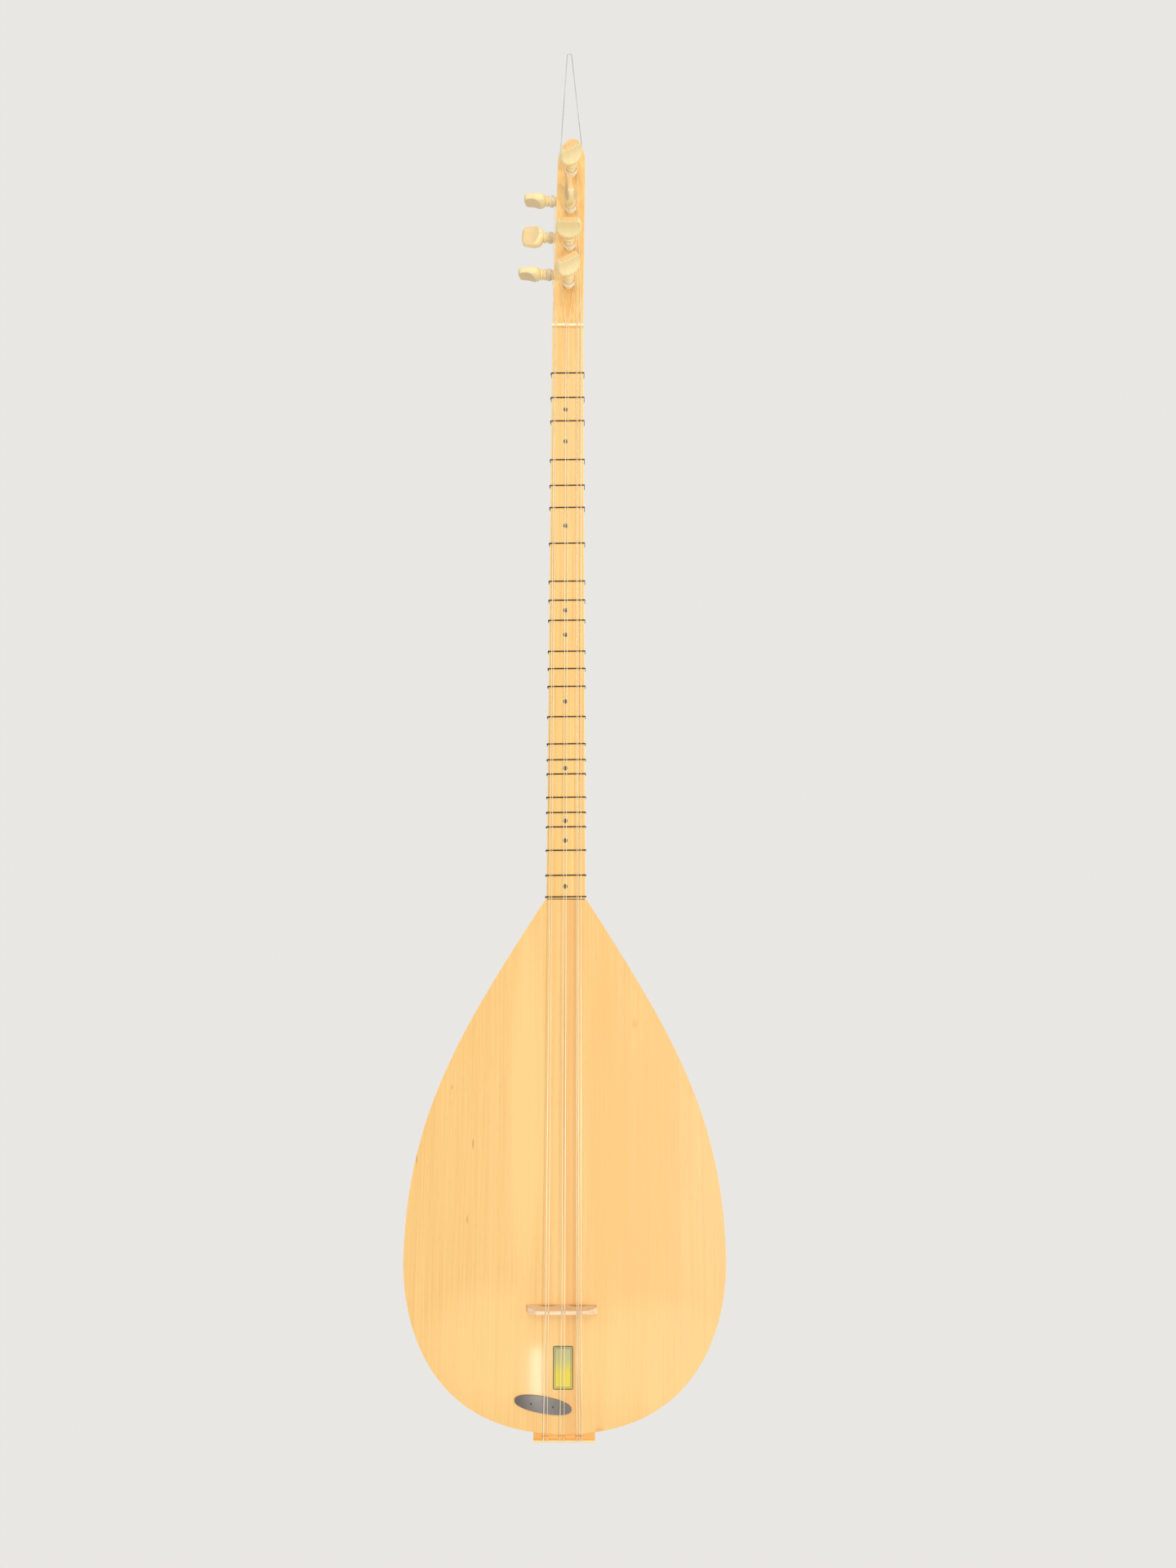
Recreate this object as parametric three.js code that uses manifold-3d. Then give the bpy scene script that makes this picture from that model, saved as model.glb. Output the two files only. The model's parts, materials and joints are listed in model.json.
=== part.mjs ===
// A long-neck saz: a plucked lute with a staved pear-shaped bowl, a long fretted neck, a head
// that leans back from it, seven pegs and seven strings, hanging from a loop of wire.
// Millimetres. +Z runs up the neck, -Y points out of the soundboard, +X is the player's side of
// the thin strings. The origin is the top of the wire loop, where it hangs.
import * as THREE from 'three';
import { mergeVertices } from 'three/addons/utils/BufferGeometryUtils.js';
import Module from 'manifold-3d';

const wasm = await Module();
wasm.setup();

const degree = Math.PI / 180;

// Clearances shared by all pieces.
const seatGap = 0.3;
const overrun = 2;
const weldDistance = 0.0001;

// Neck.
const neckLength = 547.4;
const neckTopWidth = 30;
const neckEndWidth = 35;
const neckTopDepth = 25;
const neckEndDepth = 29;
const neckSideHeight = 6;
const neckBackFacets = 7;
const tenonWidth = 15;
const tenonDepth = 14;
const tenonLength = 32;
const tenonBelowFace = 8;

// Body outline, from the joint with the neck down to the tail.
const bodyLength = 439.5;
const bodyWidth = 271.5;
const widestBelowJoint = 304;
const shoulderAngle = 32.7 * degree;
const shoulderPullShare = 0.433;
const waistPullShare = 0.395;
const hipPullShare = 0.236;
const tailPullShare = 0.916;
const upperSteps = 12;
const lowerSteps = 13;

// Soundboard and bowl.
const boardThickness = 3.5;
const bowlDepth = 170;
const bowlWall = 3;
const bowlEndWall = 4;
const rimBulgeShare = 0.15;
const staveCount = 15;
const neckBlockLength = 58;
const tailBlockLength = 24;
const tailBlockWidth = 64;
const tailBlockDepth = 62;
const soundHoleDiameter = 14;
const soundHoleBelowFace = 38;
const holeSides = 16;

// Head, along its own leaning plane.
const headLean = 8 * degree;
const headTilt = 0.8 * degree;
const headLength = 228;
const headTipWidth = 28;
const headBaseDepth = 25;
const headTipDepth = 21;
const headArchLength = 31;
const headTipShare = 0.3;
const headArchSteps = 6;
const headArchPower = 2.05;
const headBackFacets = 10;

// Nut.
const nutThickness = 2.4;
const nutRise = 2.2;
const nutSink = 2.5;

// Pegs.
const frontPegCount = 4;
const sidePegCount = 3;
const firstPegDistance = 47.5;
const pegPitch = 45;
const pegShaftDiameter = 9;
const pegTipDiameter = 7.4;
const frontPegProud = 2.5;
const sidePegShort = 1.5;
const sidePegBelowFace = 11.5;
const sidePegRise = 2.2 * degree;
const pegBeadDiameter = 10.8;
const pegBeadLength = 2.2;
const pegBeadSpace = 0.8;
const knobLength = 21.5;
const knobWidth = 24;
const knobThickness = 11.6;
const knobPower = 2.7;
const pegSides = 12;
// How far each knob stands from the head, and how its peg is turned, from the tip down.
const frontPegNecks = [15.4, 15.9, 16.3, 18.1];
const sidePegNecks = [11.6, 12.4, 14.3];
const frontPegTurns = [122 * degree, 4 * degree, 92 * degree, 122 * degree];
const sidePegTurns = [66 * degree, 3 * degree, 67 * degree];

// Strings, from left to right: two, two and three.
const stringDiameters = [0.6, 0.45, 0.5, 0.5, 0.45, 0.45, 0.6];
const stringNutShares = [-0.413, -0.37, -0.057, 0.02, 0.273, 0.318, 0.423];
const stringBridgeShares = [-0.233, -0.193, -0.002, 0.038, 0.214, 0.241, 0.274];
const stringTailShares = [-0.337, -0.275, -0.071, -0.002, 0.202, 0.253, 0.292];
const stringSides = 8;
const windingTurns = 3;
const windingSteps = 9;
const windingPitch = 1.15;
const windingSides = 5;
const windingAboveHead = 3.2;
const edgeReach = 0.55;
const edgeBackShare = 0.62;

// Tied frets: places in cents above the open string, as tied, the last one just above the joint.
const lastFretAboveJoint = 2.5;
const octaveCents = 1200;
const fretCents = [
  97, 150, 202, 291, 352, 406, 496, 596, 648, 704, 794, 846,
  901, 998, 1089, 1144, 1195, 1281, 1339, 1396, 1492, 1600, 1698,
];
const fretDiameter = 0.55;
const fretPitch = 0.98;
const fretTurns = 2;
const fretSides = 5;

// Bridge.
const bridgeAboveTail = 97.3;
const bridgeLeft = 1.9;
const bridgeWidth = 58;
const bridgeTopWidth = 42.8;
const bridgeHeight = 11;
const bridgeEndHeight = 5;
const bridgeFootThickness = 6;
const bridgeTopThickness = 3;
const bridgeArchHeight = 3.2;
const bridgeOuterFoot = 8;
const bridgeMiddleFoot = 9;
const notchWidthGap = 0.3;
const nutNotchDepth = 0.6;
const bridgeNotchDepth = 1.25;
const bridgeNotchGap = 0.7;

// Tail piece.
const tailPieceWidth = 51;
const tailPieceDrop = 7.1;
const tailPieceThickness = 10;
const tailPieceFaceSink = 1;
const tailPieceLipRise = 1.2;
const tailPieceLipHeight = 2.4;
const tailPieceLipSlope = 0.8;
const tailPieceTongue = 5;
const tailGrooveDepth = 1.3;
const stringHoleDiameter = 1.5;
const stringHoleSides = 8;
const stringHoleBelowEdge = 2.5;

// Oval plate on the soundboard.
const ovalLength = 48.2;
const ovalWidth = 12.9;
const ovalThickness = 1;
const ovalTilt = -9.5 * degree;
const ovalAboveTail = 22.1;
const ovalLeft = 17.6;
const ovalPower = 2.25;
const ovalSteps = 32;

// Hanging wire.
const wireDiameter = 0.8;
const wireSides = 8;
const wireHoleDiameter = 2.4;
const wireHoleFromTip = 28;
const wireHoleBelowFace = 16;
const wireRise = 132;
const wireLean = 3 * degree;
const wireBendRadius = 2.2;
const wireTopRadius = 1.9;
const wireBendSteps = 5;
const wireEndGap = 0.5;

// Colours.
const boardColour = 0xf2cf96;
const neckColour = 0xf0c98c;
const headColour = 0xe8b97a;
const bowlColour = 0xa8733f;
const pegColour = 0xf3dcb4;
const blockColour = 0xdcb98a;
const holderColour = 0xe9aa52;
const bridgeColour = 0xdfbb92;
const fretColour = 0x4a3320;
const steelColour = 0xc9ccd0;
const nutColour = 0xf1e3c0;
const ovalColour = 0x3d3a39;
const woodRoughness = 0.4;
const metalRoughness = 0.3;

// Helpers for shapes.

function finish(colour, metalness = 0) {
  const roughness = metalness > 0 ? metalRoughness : woodRoughness;
  return new THREE.MeshStandardMaterial({ color: colour, roughness, metalness, flatShading: true });
}

// Joins shared corners, drops empty faces and turns all the faces outward.
function closed(geometry) {
  const bare = geometry.clone();
  bare.deleteAttribute('normal');
  bare.deleteAttribute('uv');
  const joined = mergeVertices(bare, weldDistance);
  const places = joined.getAttribute('position');
  const corners = joined.getIndex().array;
  const kept = [];
  const [a, b, c] = [new THREE.Vector3(), new THREE.Vector3(), new THREE.Vector3()];
  let volume = 0;
  for (let i = 0; i < corners.length; i += 3) {
    const face = [corners[i], corners[i + 1], corners[i + 2]];
    if (face[0] !== face[1] && face[1] !== face[2] && face[2] !== face[0]) {
      kept.push(...face);
      a.fromBufferAttribute(places, face[0]);
      b.fromBufferAttribute(places, face[1]);
      c.fromBufferAttribute(places, face[2]);
      volume += a.dot(b.cross(c));
    }
  }
  if (volume < 0) {
    kept.reverse();
  }
  joined.setIndex(kept);
  return joined;
}

function piece(name, geometry, material) {
  const body = closed(geometry);
  body.computeVertexNormals();
  const mesh = new THREE.Mesh(body, material);
  mesh.name = name;
  return mesh;
}

function solid(geometry) {
  const body = closed(geometry);
  const vertProperties = Float32Array.from(body.getAttribute('position').array);
  const triVerts = Uint32Array.from(body.getIndex().array);
  return new wasm.Manifold(new wasm.Mesh({ numProp: 3, vertProperties, triVerts }));
}

function surface(body) {
  const mesh = body.getMesh();
  const geometry = new THREE.BufferGeometry();
  geometry.setAttribute('position', new THREE.BufferAttribute(mesh.vertProperties, 3));
  geometry.setIndex(Array.from(mesh.triVerts));
  return geometry;
}

// A box between two corners.
function block(low, high) {
  const size = new THREE.Vector3().subVectors(high, low);
  const centre = new THREE.Vector3().addVectors(low, high).multiplyScalar(0.5);
  return new THREE.BoxGeometry(size.x, size.y, size.z).translate(centre.x, centre.y, centre.z);
}

// Skins convex rings of equally many points, and closes both ends.
function loft(rings) {
  const count = rings[0].length;
  const positions = rings.flat().flatMap((point) => point.toArray());
  const indices = [];
  for (let ring = 0; ring < rings.length - 1; ring += 1) {
    for (let side = 0; side < count; side += 1) {
      const a = ring * count + side;
      const b = ring * count + ((side + 1) % count);
      indices.push(a, b, b + count, a, b + count, a + count);
    }
  }
  const last = (rings.length - 1) * count;
  for (let side = 1; side < count - 1; side += 1) {
    indices.push(0, side + 1, side);
    indices.push(last, last + side, last + side + 1);
  }
  const geometry = new THREE.BufferGeometry();
  geometry.setAttribute('position', new THREE.Float32BufferAttribute(positions, 3));
  geometry.setIndex(indices);
  return geometry;
}

// A path through given points, with its section square to the corner at each of them.
class Route extends THREE.Curve {
  constructor(points) {
    super();
    this.points = points;
  }

  getPointAt(share) {
    return this.points[Math.round(share * (this.points.length - 1))].clone();
  }

  getTangentAt(share) {
    const last = this.points.length - 1;
    const corner = Math.round(share * last);
    const tangent = new THREE.Vector3();
    if (corner > 0) {
      tangent.add(this.points[corner].clone().sub(this.points[corner - 1]).normalize());
    }
    if (corner < last) {
      tangent.add(this.points[corner + 1].clone().sub(this.points[corner]).normalize());
    }
    return tangent.normalize();
  }
}

function ringShape(radius, sides) {
  const points = [];
  for (let side = 0; side < sides; side += 1) {
    const angle = (2 * Math.PI * side) / sides;
    points.push(new THREE.Vector2(radius * Math.cos(angle), radius * Math.sin(angle)));
  }
  return new THREE.Shape(points);
}

function tube(points, diameter, sides) {
  return new THREE.ExtrudeGeometry(ringShape(diameter / 2, sides), {
    steps: points.length - 1,
    bevelEnabled: false,
    extrudePath: new Route(points),
  });
}

// The least distance between stretches of one tube that are at least a turn's half apart.
function leastGap(points, diameter, stepsApart) {
  let least = Infinity;
  const near = new THREE.Vector3();
  for (let i = 0; i < points.length; i += 1) {
    for (let j = i + stepsApart; j < points.length - 1; j += 1) {
      new THREE.Line3(points[j], points[j + 1]).closestPointToPoint(points[i], true, near);
      least = Math.min(least, near.distanceTo(points[i]));
    }
  }
  return least - diameter;
}

// A round bore or pin from one point to another, narrowing to its far end.
function taper(from, to, fromDiameter, toDiameter, sides) {
  const axis = new THREE.Vector3().subVectors(to, from);
  const shape = new THREE.CylinderGeometry(toDiameter / 2, fromDiameter / 2, axis.length(), sides);
  const turn = new THREE.Quaternion().setFromUnitVectors(
    new THREE.Vector3(0, 1, 0),
    axis.clone().normalize(),
  );
  shape.applyQuaternion(turn);
  const middle = new THREE.Vector3().addVectors(from, to).multiplyScalar(0.5);
  return shape.translate(middle.x, middle.y, middle.z);
}

// Extrudes an outline drawn in X and Z from one Y to another.
function plate(shape, fromY, toY) {
  const geometry = new THREE.ExtrudeGeometry(shape, { depth: toY - fromY, bevelEnabled: false });
  return geometry.rotateX(90 * degree).translate(0, toY, 0);
}

// Neck: a D section, flat on the face, with straight sides and a half-oval back.

function neckHalfWidth(below) {
  return THREE.MathUtils.lerp(neckTopWidth, neckEndWidth, below / neckLength) / 2;
}

function neckDepth(below) {
  return THREE.MathUtils.lerp(neckTopDepth, neckEndDepth, below / neckLength);
}

function backPoints(halfWidth, depth, facets) {
  const points = [];
  for (let step = 0; step <= facets; step += 1) {
    const angle = (Math.PI * step) / facets;
    const y = neckSideHeight + (depth - neckSideHeight) * Math.sin(angle);
    points.push(new THREE.Vector2(halfWidth * Math.cos(angle), y));
  }
  return points;
}

function dSection(halfWidth, depth, facets) {
  const corners = [new THREE.Vector2(-halfWidth, 0), new THREE.Vector2(halfWidth, 0)];
  return corners.concat(backPoints(halfWidth, depth, facets));
}

function neckRing(below) {
  return dSection(neckHalfWidth(below), neckDepth(below), neckBackFacets)
    .map((point) => new THREE.Vector3(point.x, point.y, -below));
}

function tenonBox(gap) {
  const halfWidth = tenonWidth / 2 + gap;
  return block(
    new THREE.Vector3(-halfWidth, tenonBelowFace - gap, -neckLength - tenonLength - gap),
    new THREE.Vector3(halfWidth, tenonBelowFace + tenonDepth + gap, -neckLength + overrun),
  );
}

function makeNeck() {
  const shaft = solid(loft([neckRing(0), neckRing(neckLength)]));
  return piece('neck', surface(shaft.add(solid(tenonBox(0)))), finish(neckColour));
}

// Body outline: half width and height at stations from the joint to the tail.

const tailZ = -neckLength - bodyLength;

function bodyStations() {
  const halfWidth = bodyWidth / 2;
  const lowerLength = bodyLength - widestBelowJoint;
  const joint = new THREE.Vector2(neckEndWidth / 2, -neckLength);
  const widest = new THREE.Vector2(halfWidth, -neckLength - widestBelowJoint);
  const tail = new THREE.Vector2(0, tailZ);
  const shoulderPull = widestBelowJoint * shoulderPullShare;
  const shoulder = new THREE.Vector2(Math.sin(shoulderAngle), -Math.cos(shoulderAngle))
    .multiplyScalar(shoulderPull).add(joint);
  const waist = new THREE.Vector2(halfWidth, widest.y + widestBelowJoint * waistPullShare);
  const hip = new THREE.Vector2(halfWidth, widest.y - lowerLength * hipPullShare);
  const base = new THREE.Vector2(halfWidth * tailPullShare, tailZ);
  const upper = new THREE.CubicBezierCurve(joint, shoulder, waist, widest).getPoints(upperSteps);
  const lower = new THREE.CubicBezierCurve(widest, hip, base, tail).getPoints(lowerSteps);
  return upper.concat(lower.slice(1));
}

const stations = bodyStations();

function bodyShape() {
  const left = stations.slice(0, -1).map((point) => new THREE.Vector2(-point.x, point.y));
  return new THREE.Shape(left.concat(stations.slice().reverse()));
}

function makeSoundboard() {
  return piece('soundboard', plate(bodyShape(), 0, boardThickness), finish(boardColour));
}

// Bowl: half-oval sections whose widest place lies a little behind the rim.

function bowlDepthAt(station) {
  const below = -neckLength - station.y;
  if (below <= widestBelowJoint) {
    const jointRatio = neckEndDepth / (neckEndWidth / 2);
    const bowlRatio = bowlDepth / (bodyWidth / 2);
    const share = 1 - below / widestBelowJoint;
    return station.x * (bowlRatio + (jointRatio - bowlRatio) * share ** 3);
  }
  const share = (below - widestBelowJoint) / (bodyLength - widestBelowJoint);
  const rise = Math.sqrt(Math.max(0, 1 - share ** 2));
  return boardThickness + (bowlDepth - boardThickness) * rise;
}

function bowlRing(station, inset, rimLift) {
  const depth = bowlDepthAt(station);
  const centreY = boardThickness + rimBulgeShare * (depth - boardThickness);
  const bulge = rimBulgeShare / (1 - rimBulgeShare);
  const outerX = station.x / Math.sqrt(1 - bulge ** 2);
  const radiusX = outerX - inset;
  const radiusY = depth - centreY - inset;
  const start = radiusY > 0 ? Math.asin((centreY - boardThickness) / radiusY) : 0;
  const ring = [];
  for (let stave = 0; stave <= staveCount; stave += 1) {
    const angle = -start + ((Math.PI + 2 * start) * stave) / staveCount;
    const x = radiusX * Math.cos(angle);
    ring.push(new THREE.Vector3(x, centreY + radiusY * Math.sin(angle), station.y));
  }
  if (rimLift > 0) {
    ring.unshift(new THREE.Vector3(ring[0].x, boardThickness - rimLift, station.y));
    ring.push(new THREE.Vector3(ring[ring.length - 1].x, boardThickness - rimLift, station.y));
  }
  return ring;
}

function bowlSolid() {
  return solid(loft(stations.map((station) => bowlRing(station, 0, 0))));
}

// The room inside the bowl, a wall's thickness in from its outside.
function bowlRoom(inset, rimLift) {
  const deepEnough = (station) => (
    bowlDepthAt(station) * (1 - rimBulgeShare) > boardThickness + 3 * inset
  );
  const inner = stations.filter((station) => station.x > 2 * inset && deepEnough(station));
  const rings = inner.map((station) => bowlRing(station, inset, rimLift));
  return solid(loft(rings));
}

function slice(fromZ, toZ) {
  const reach = bodyWidth;
  return solid(block(
    new THREE.Vector3(-reach, -reach, fromZ),
    new THREE.Vector3(reach, reach, toZ),
  ));
}

function soundHole() {
  const from = new THREE.Vector3(0, soundHoleBelowFace, tailZ - overrun);
  const to = new THREE.Vector3(0, soundHoleBelowFace, tailZ + 2 * tailBlockLength);
  return solid(taper(from, to, soundHoleDiameter, soundHoleDiameter, holeSides));
}

function makeBowl() {
  const room = bowlRoom(bowlWall, overrun);
  const roomTop = -neckLength - bowlEndWall;
  const hollow = room.intersect(slice(tailZ, roomTop));
  const shell = bowlSolid().subtract(hollow)
    .subtract(solid(tenonBox(seatGap)))
    .subtract(soundHole());
  return piece('bowl', surface(shell), finish(bowlColour));
}

function makeNeckBlock() {
  const top = -neckLength - bowlEndWall;
  const body = bowlRoom(bowlWall + seatGap, 0)
    .intersect(slice(top - neckBlockLength, top - seatGap))
    .subtract(solid(tenonBox(seatGap)));
  return piece('neck_block', surface(body), finish(blockColour));
}

function makeTailBlock() {
  const halfWidth = tailBlockWidth / 2;
  const space = solid(block(
    new THREE.Vector3(-halfWidth, 0, tailZ),
    new THREE.Vector3(halfWidth, tailBlockDepth, tailZ + tailBlockLength),
  ));
  const body = bowlRoom(bowlWall + seatGap, 0).intersect(space).subtract(soundHole());
  return piece('tail_block', surface(body), finish(blockColour));
}

// Head: places on it are given as sideways, out of its face, and up from the nut. It leans back
// from the neck, and tilts a little to the right in the plane of its face.

function headPoint(x, out, up) {
  const rise = up * Math.cos(headTilt) - x * Math.sin(headTilt);
  return new THREE.Vector3(
    x * Math.cos(headTilt) + up * Math.sin(headTilt),
    rise * Math.sin(headLean) - out * Math.cos(headLean),
    rise * Math.cos(headLean) + out * Math.sin(headLean),
  );
}

function headHalfWidth(up) {
  return THREE.MathUtils.lerp(neckTopWidth, headTipWidth, up / headLength) / 2;
}

function headDepth(up) {
  return THREE.MathUtils.lerp(headBaseDepth, headTipDepth, up / headLength);
}

function headRing(up, share) {
  return dSection(headHalfWidth(up) * share, headDepth(up) * Math.sqrt(share), headBackFacets)
    .map((point) => headPoint(point.x, -point.y, up));
}

function headRings() {
  const archStart = headLength - headArchLength;
  const rings = [headRing(-headBaseDepth / 2, 1), headRing(archStart, 1)];
  for (let step = 1; step <= headArchSteps; step += 1) {
    const rise = Math.sin((90 * degree * step) / headArchSteps);
    const narrowing = (1 - rise ** headArchPower) ** (1 / headArchPower);
    rings.push(headRing(archStart + headArchLength * rise, Math.max(narrowing, headTipShare)));
  }
  return rings;
}

function wireHole() {
  const up = headLength - wireHoleFromTip;
  const reach = neckTopWidth;
  return solid(taper(
    headPoint(-reach, -wireHoleBelowFace, up),
    headPoint(reach, -wireHoleBelowFace, up),
    wireHoleDiameter,
    wireHoleDiameter,
    holeSides,
  ));
}

function pegBore(seat) {
  const boreDiameter = pegShaftDiameter + 2 * seatGap;
  const farDiameter = boreDiameter - (pegShaftDiameter - pegTipDiameter);
  const from = seat.surface.clone().addScaledVector(seat.axis, overrun);
  const to = seat.surface.clone().addScaledVector(seat.axis, -seat.depth - overrun);
  return solid(taper(from, to, boreDiameter, farDiameter, pegSides));
}

function makeHead() {
  const reach = 2 * headLength;
  const aboveNut = solid(block(
    new THREE.Vector3(-reach, -reach, 0),
    new THREE.Vector3(reach, reach, reach),
  ));
  const nutSlot = solid(block(
    new THREE.Vector3(-neckTopWidth, -overrun, -overrun),
    new THREE.Vector3(neckTopWidth, nutSink, nutThickness + seatGap),
  ));
  let head = solid(loft(headRings())).intersect(aboveNut).subtract(nutSlot).subtract(wireHole());
  pegSeats.forEach((seat) => {
    head = head.subtract(pegBore(seat));
  });
  return piece('headstock', surface(head), finish(headColour));
}

// Peg seats: where each shaft leaves the head, its axis, and how far it runs in.

function frontSeat(number) {
  const up = firstPegDistance + pegPitch * (frontPegCount - 1 - number);
  return {
    name: `front_${number + 1}`,
    surface: headPoint(0, 0, up),
    axis: headPoint(0, 1, 0),
    depth: headDepth(up),
    tip: headDepth(up) + frontPegProud,
    neck: frontPegNecks[number],
    turn: frontPegTurns[number],
  };
}

function sideSeat(number) {
  const up = firstPegDistance + pegPitch * (sidePegCount - number - 0.5);
  const halfWidth = headHalfWidth(up);
  return {
    name: `side_${number + 1}`,
    surface: headPoint(-halfWidth, -sidePegBelowFace, up),
    axis: headPoint(-Math.cos(sidePegRise), 0, Math.sin(sidePegRise)),
    depth: 2 * halfWidth,
    tip: 2 * halfWidth - sidePegShort,
    neck: sidePegNecks[number],
    turn: sidePegTurns[number],
  };
}

const frontSeats = Array.from({ length: frontPegCount }, (_, number) => frontSeat(number));
const sideSeats = Array.from({ length: sidePegCount }, (_, number) => sideSeat(number));
const pegSeats = frontSeats.concat(sideSeats);

// A group whose Z runs out along the peg and whose X runs up the head.
function seatGroup(seat) {
  const across = new THREE.Vector3().crossVectors(seat.axis, headPoint(0, 0, 1)).normalize();
  const up = new THREE.Vector3().crossVectors(across, seat.axis);
  const group = new THREE.Group();
  group.quaternion.setFromRotationMatrix(new THREE.Matrix4().makeBasis(up, across, seat.axis));
  group.position.copy(seat.surface);
  return group;
}

function pegRing(height, halfWidth, halfThickness, power) {
  const ring = [];
  for (let side = 0; side < pegSides; side += 1) {
    const angle = (2 * Math.PI * side) / pegSides;
    const [c, s] = [Math.cos(angle), Math.sin(angle)];
    ring.push(new THREE.Vector3(
      halfWidth * Math.sign(c) * Math.abs(c) ** (2 / power),
      halfThickness * Math.sign(s) * Math.abs(s) ** (2 / power),
      height,
    ));
  }
  return ring;
}

// The knob's sections as shares of its length, width and thickness: scooped on both faces.
const knobShares = [
  [0, 0.44, 0.82],
  [0.07, 0.76, 0.97],
  [0.19, 0.96, 1],
  [0.34, 1, 0.72],
  [0.6, 0.99, 0.46],
  [0.86, 0.91, 0.5],
  [0.96, 0.78, 0.5],
  [1, 0.62, 0.44],
];

function pegGeometry(seat) {
  const shaft = pegShaftDiameter / 2;
  const bead = pegBeadDiameter / 2;
  const beadEnd = seat.neck - pegBeadSpace;
  const beadStart = beadEnd - pegBeadLength;
  const round = [
    [-seat.tip, pegTipDiameter / 2 * (1 - pegBeadSpace / pegTipDiameter)],
    [-seat.tip + pegBeadSpace, pegTipDiameter / 2],
    [0, shaft],
    [beadStart, shaft],
    [beadStart + pegBeadLength / 4, bead],
    [beadEnd - pegBeadLength / 4, bead],
    [beadEnd, shaft],
  ].map(([height, radius]) => pegRing(height, radius, radius, 2));
  const knob = knobShares.map(([along, wide, thick]) => pegRing(
    seat.neck + along * knobLength,
    wide * knobWidth / 2,
    thick * knobThickness / 2,
    THREE.MathUtils.lerp(2, knobPower, along),
  ));
  return loft(round.concat(knob));
}

// Pegs, in the order of their seats, take the strings from right to left: the front ones four,
// then the side ones three. So this gives a peg's string, and a string's peg.
function partner(number) {
  return stringDiameters.length - 1 - number;
}

function windingWire(number) {
  return stringDiameters[partner(number)];
}

function windingRadius(number) {
  const clear = pegShaftDiameter / 2 + seatGap + windingWire(number) / 2;
  return clear / Math.cos(Math.PI / windingSteps);
}

// Each winding starts where its string arrives, below the shaft's near side.
function windingPoints(number) {
  const radius = windingRadius(number);
  const points = [];
  for (let step = 0; step <= windingTurns * windingSteps; step += 1) {
    const angle = (2 * Math.PI * step) / windingSteps - 90 * degree;
    const height = windingAboveHead + (windingPitch * step) / windingSteps;
    points.push(new THREE.Vector3(radius * Math.cos(angle), radius * Math.sin(angle), height));
  }
  return points;
}

function makePegs() {
  return pegSeats.map((seat, number) => {
    const group = seatGroup(seat);
    const peg = piece(`peg_${seat.name}`, pegGeometry(seat), finish(pegColour));
    peg.rotation.z = seat.turn;
    const wire = tube(windingPoints(number), windingWire(number), windingSides);
    group.add(peg, piece(`winding_${seat.name}`, wire, finish(steelColour, 1)));
    return group;
  });
}

// Strings: each one from its winding over the nut and the bridge, round the tail piece.

const bridgeDistance = neckLength + bodyLength - bridgeAboveTail;

function stringAtNut(number) {
  const height = nutRise - nutNotchDepth + seatGap + stringDiameters[number] / 2;
  return new THREE.Vector3(stringNutShares[number] * neckTopWidth, -height, nutThickness / 2);
}

function stringAtBridge(number) {
  const rise = bridgeHeight - bridgeNotchDepth + bridgeNotchGap;
  return new THREE.Vector3(
    stringBridgeShares[number] * bridgeWidth - bridgeLeft,
    -rise - stringDiameters[number] / 2,
    -bridgeDistance - bridgeTopThickness / 2,
  );
}

// From the lip of the tail piece round its foot and into the string hole from behind.
function stringAtTail(number) {
  const x = stringTailShares[number] * tailPieceWidth;
  const clear = seatGap + stringDiameters[number] / 2;
  const foot = tailZ - tailPieceDrop + tailGrooveDepth;
  const lip = -tailPieceLipRise - clear;
  const back = tailPieceFaceSink + tailPieceThickness + clear;
  const hole = tailZ - stringHoleBelowEdge;
  const route = [
    [lip, foot + tailPieceLipSlope],
    [lip, foot],
    [-tailPieceLipRise, foot - clear],
    [back - clear, foot - clear],
    [back, foot],
    [back, hole - stringHoleDiameter / 2],
    [back - clear, hole],
    [tailPieceFaceSink + stringHoleDiameter, hole],
  ];
  return route.map(([y, z]) => new THREE.Vector3(x, y, z));
}

// A string ends beside the first turn of its winding, on the side of the head.
function stringAtPeg(number) {
  const peg = partner(number);
  const seat = pegSeats[peg];
  const group = seatGroup(seat);
  group.updateMatrixWorld();
  const height = windingAboveHead - stringDiameters[number] - seatGap;
  const arrival = new THREE.Vector3(0, -windingRadius(peg), height)
    .applyMatrix4(group.matrixWorld);
  if (seat.axis.x === 0) {
    return [arrival];
  }
  // A string for a side peg first bends over the edge of the head's face.
  const up = arrival.z / Math.cos(headLean) * edgeBackShare;
  const edge = headPoint(-headHalfWidth(up) - edgeReach, edgeReach, up);
  return [arrival, edge];
}

function makeStrings() {
  return stringDiameters.map((diameter, number) => {
    const nut = stringAtNut(number);
    const bridge = stringAtBridge(number);
    const points = [...stringAtPeg(number), nut, bridge, ...stringAtTail(number)];
    const geometry = tube(points, diameter, stringSides);
    return piece(`string_${number + 1}`, geometry, finish(steelColour, 1));
  });
}

function makeNut() {
  const halfWidth = neckTopWidth / 2;
  let nut = solid(block(
    new THREE.Vector3(-halfWidth, -nutRise, 0),
    new THREE.Vector3(halfWidth, nutSink, nutThickness),
  ));
  stringDiameters.forEach((diameter, number) => {
    const x = stringNutShares[number] * neckTopWidth;
    const half = diameter / 2 + notchWidthGap;
    nut = nut.subtract(solid(block(
      new THREE.Vector3(x - half, -nutRise - overrun, -overrun),
      new THREE.Vector3(x + half, -nutRise + nutNotchDepth, nutThickness + overrun),
    )));
  });
  return piece('nut', surface(nut), finish(nutColour));
}

// Frets: two turns of line round the neck, climbing from left to right across the face.

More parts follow.
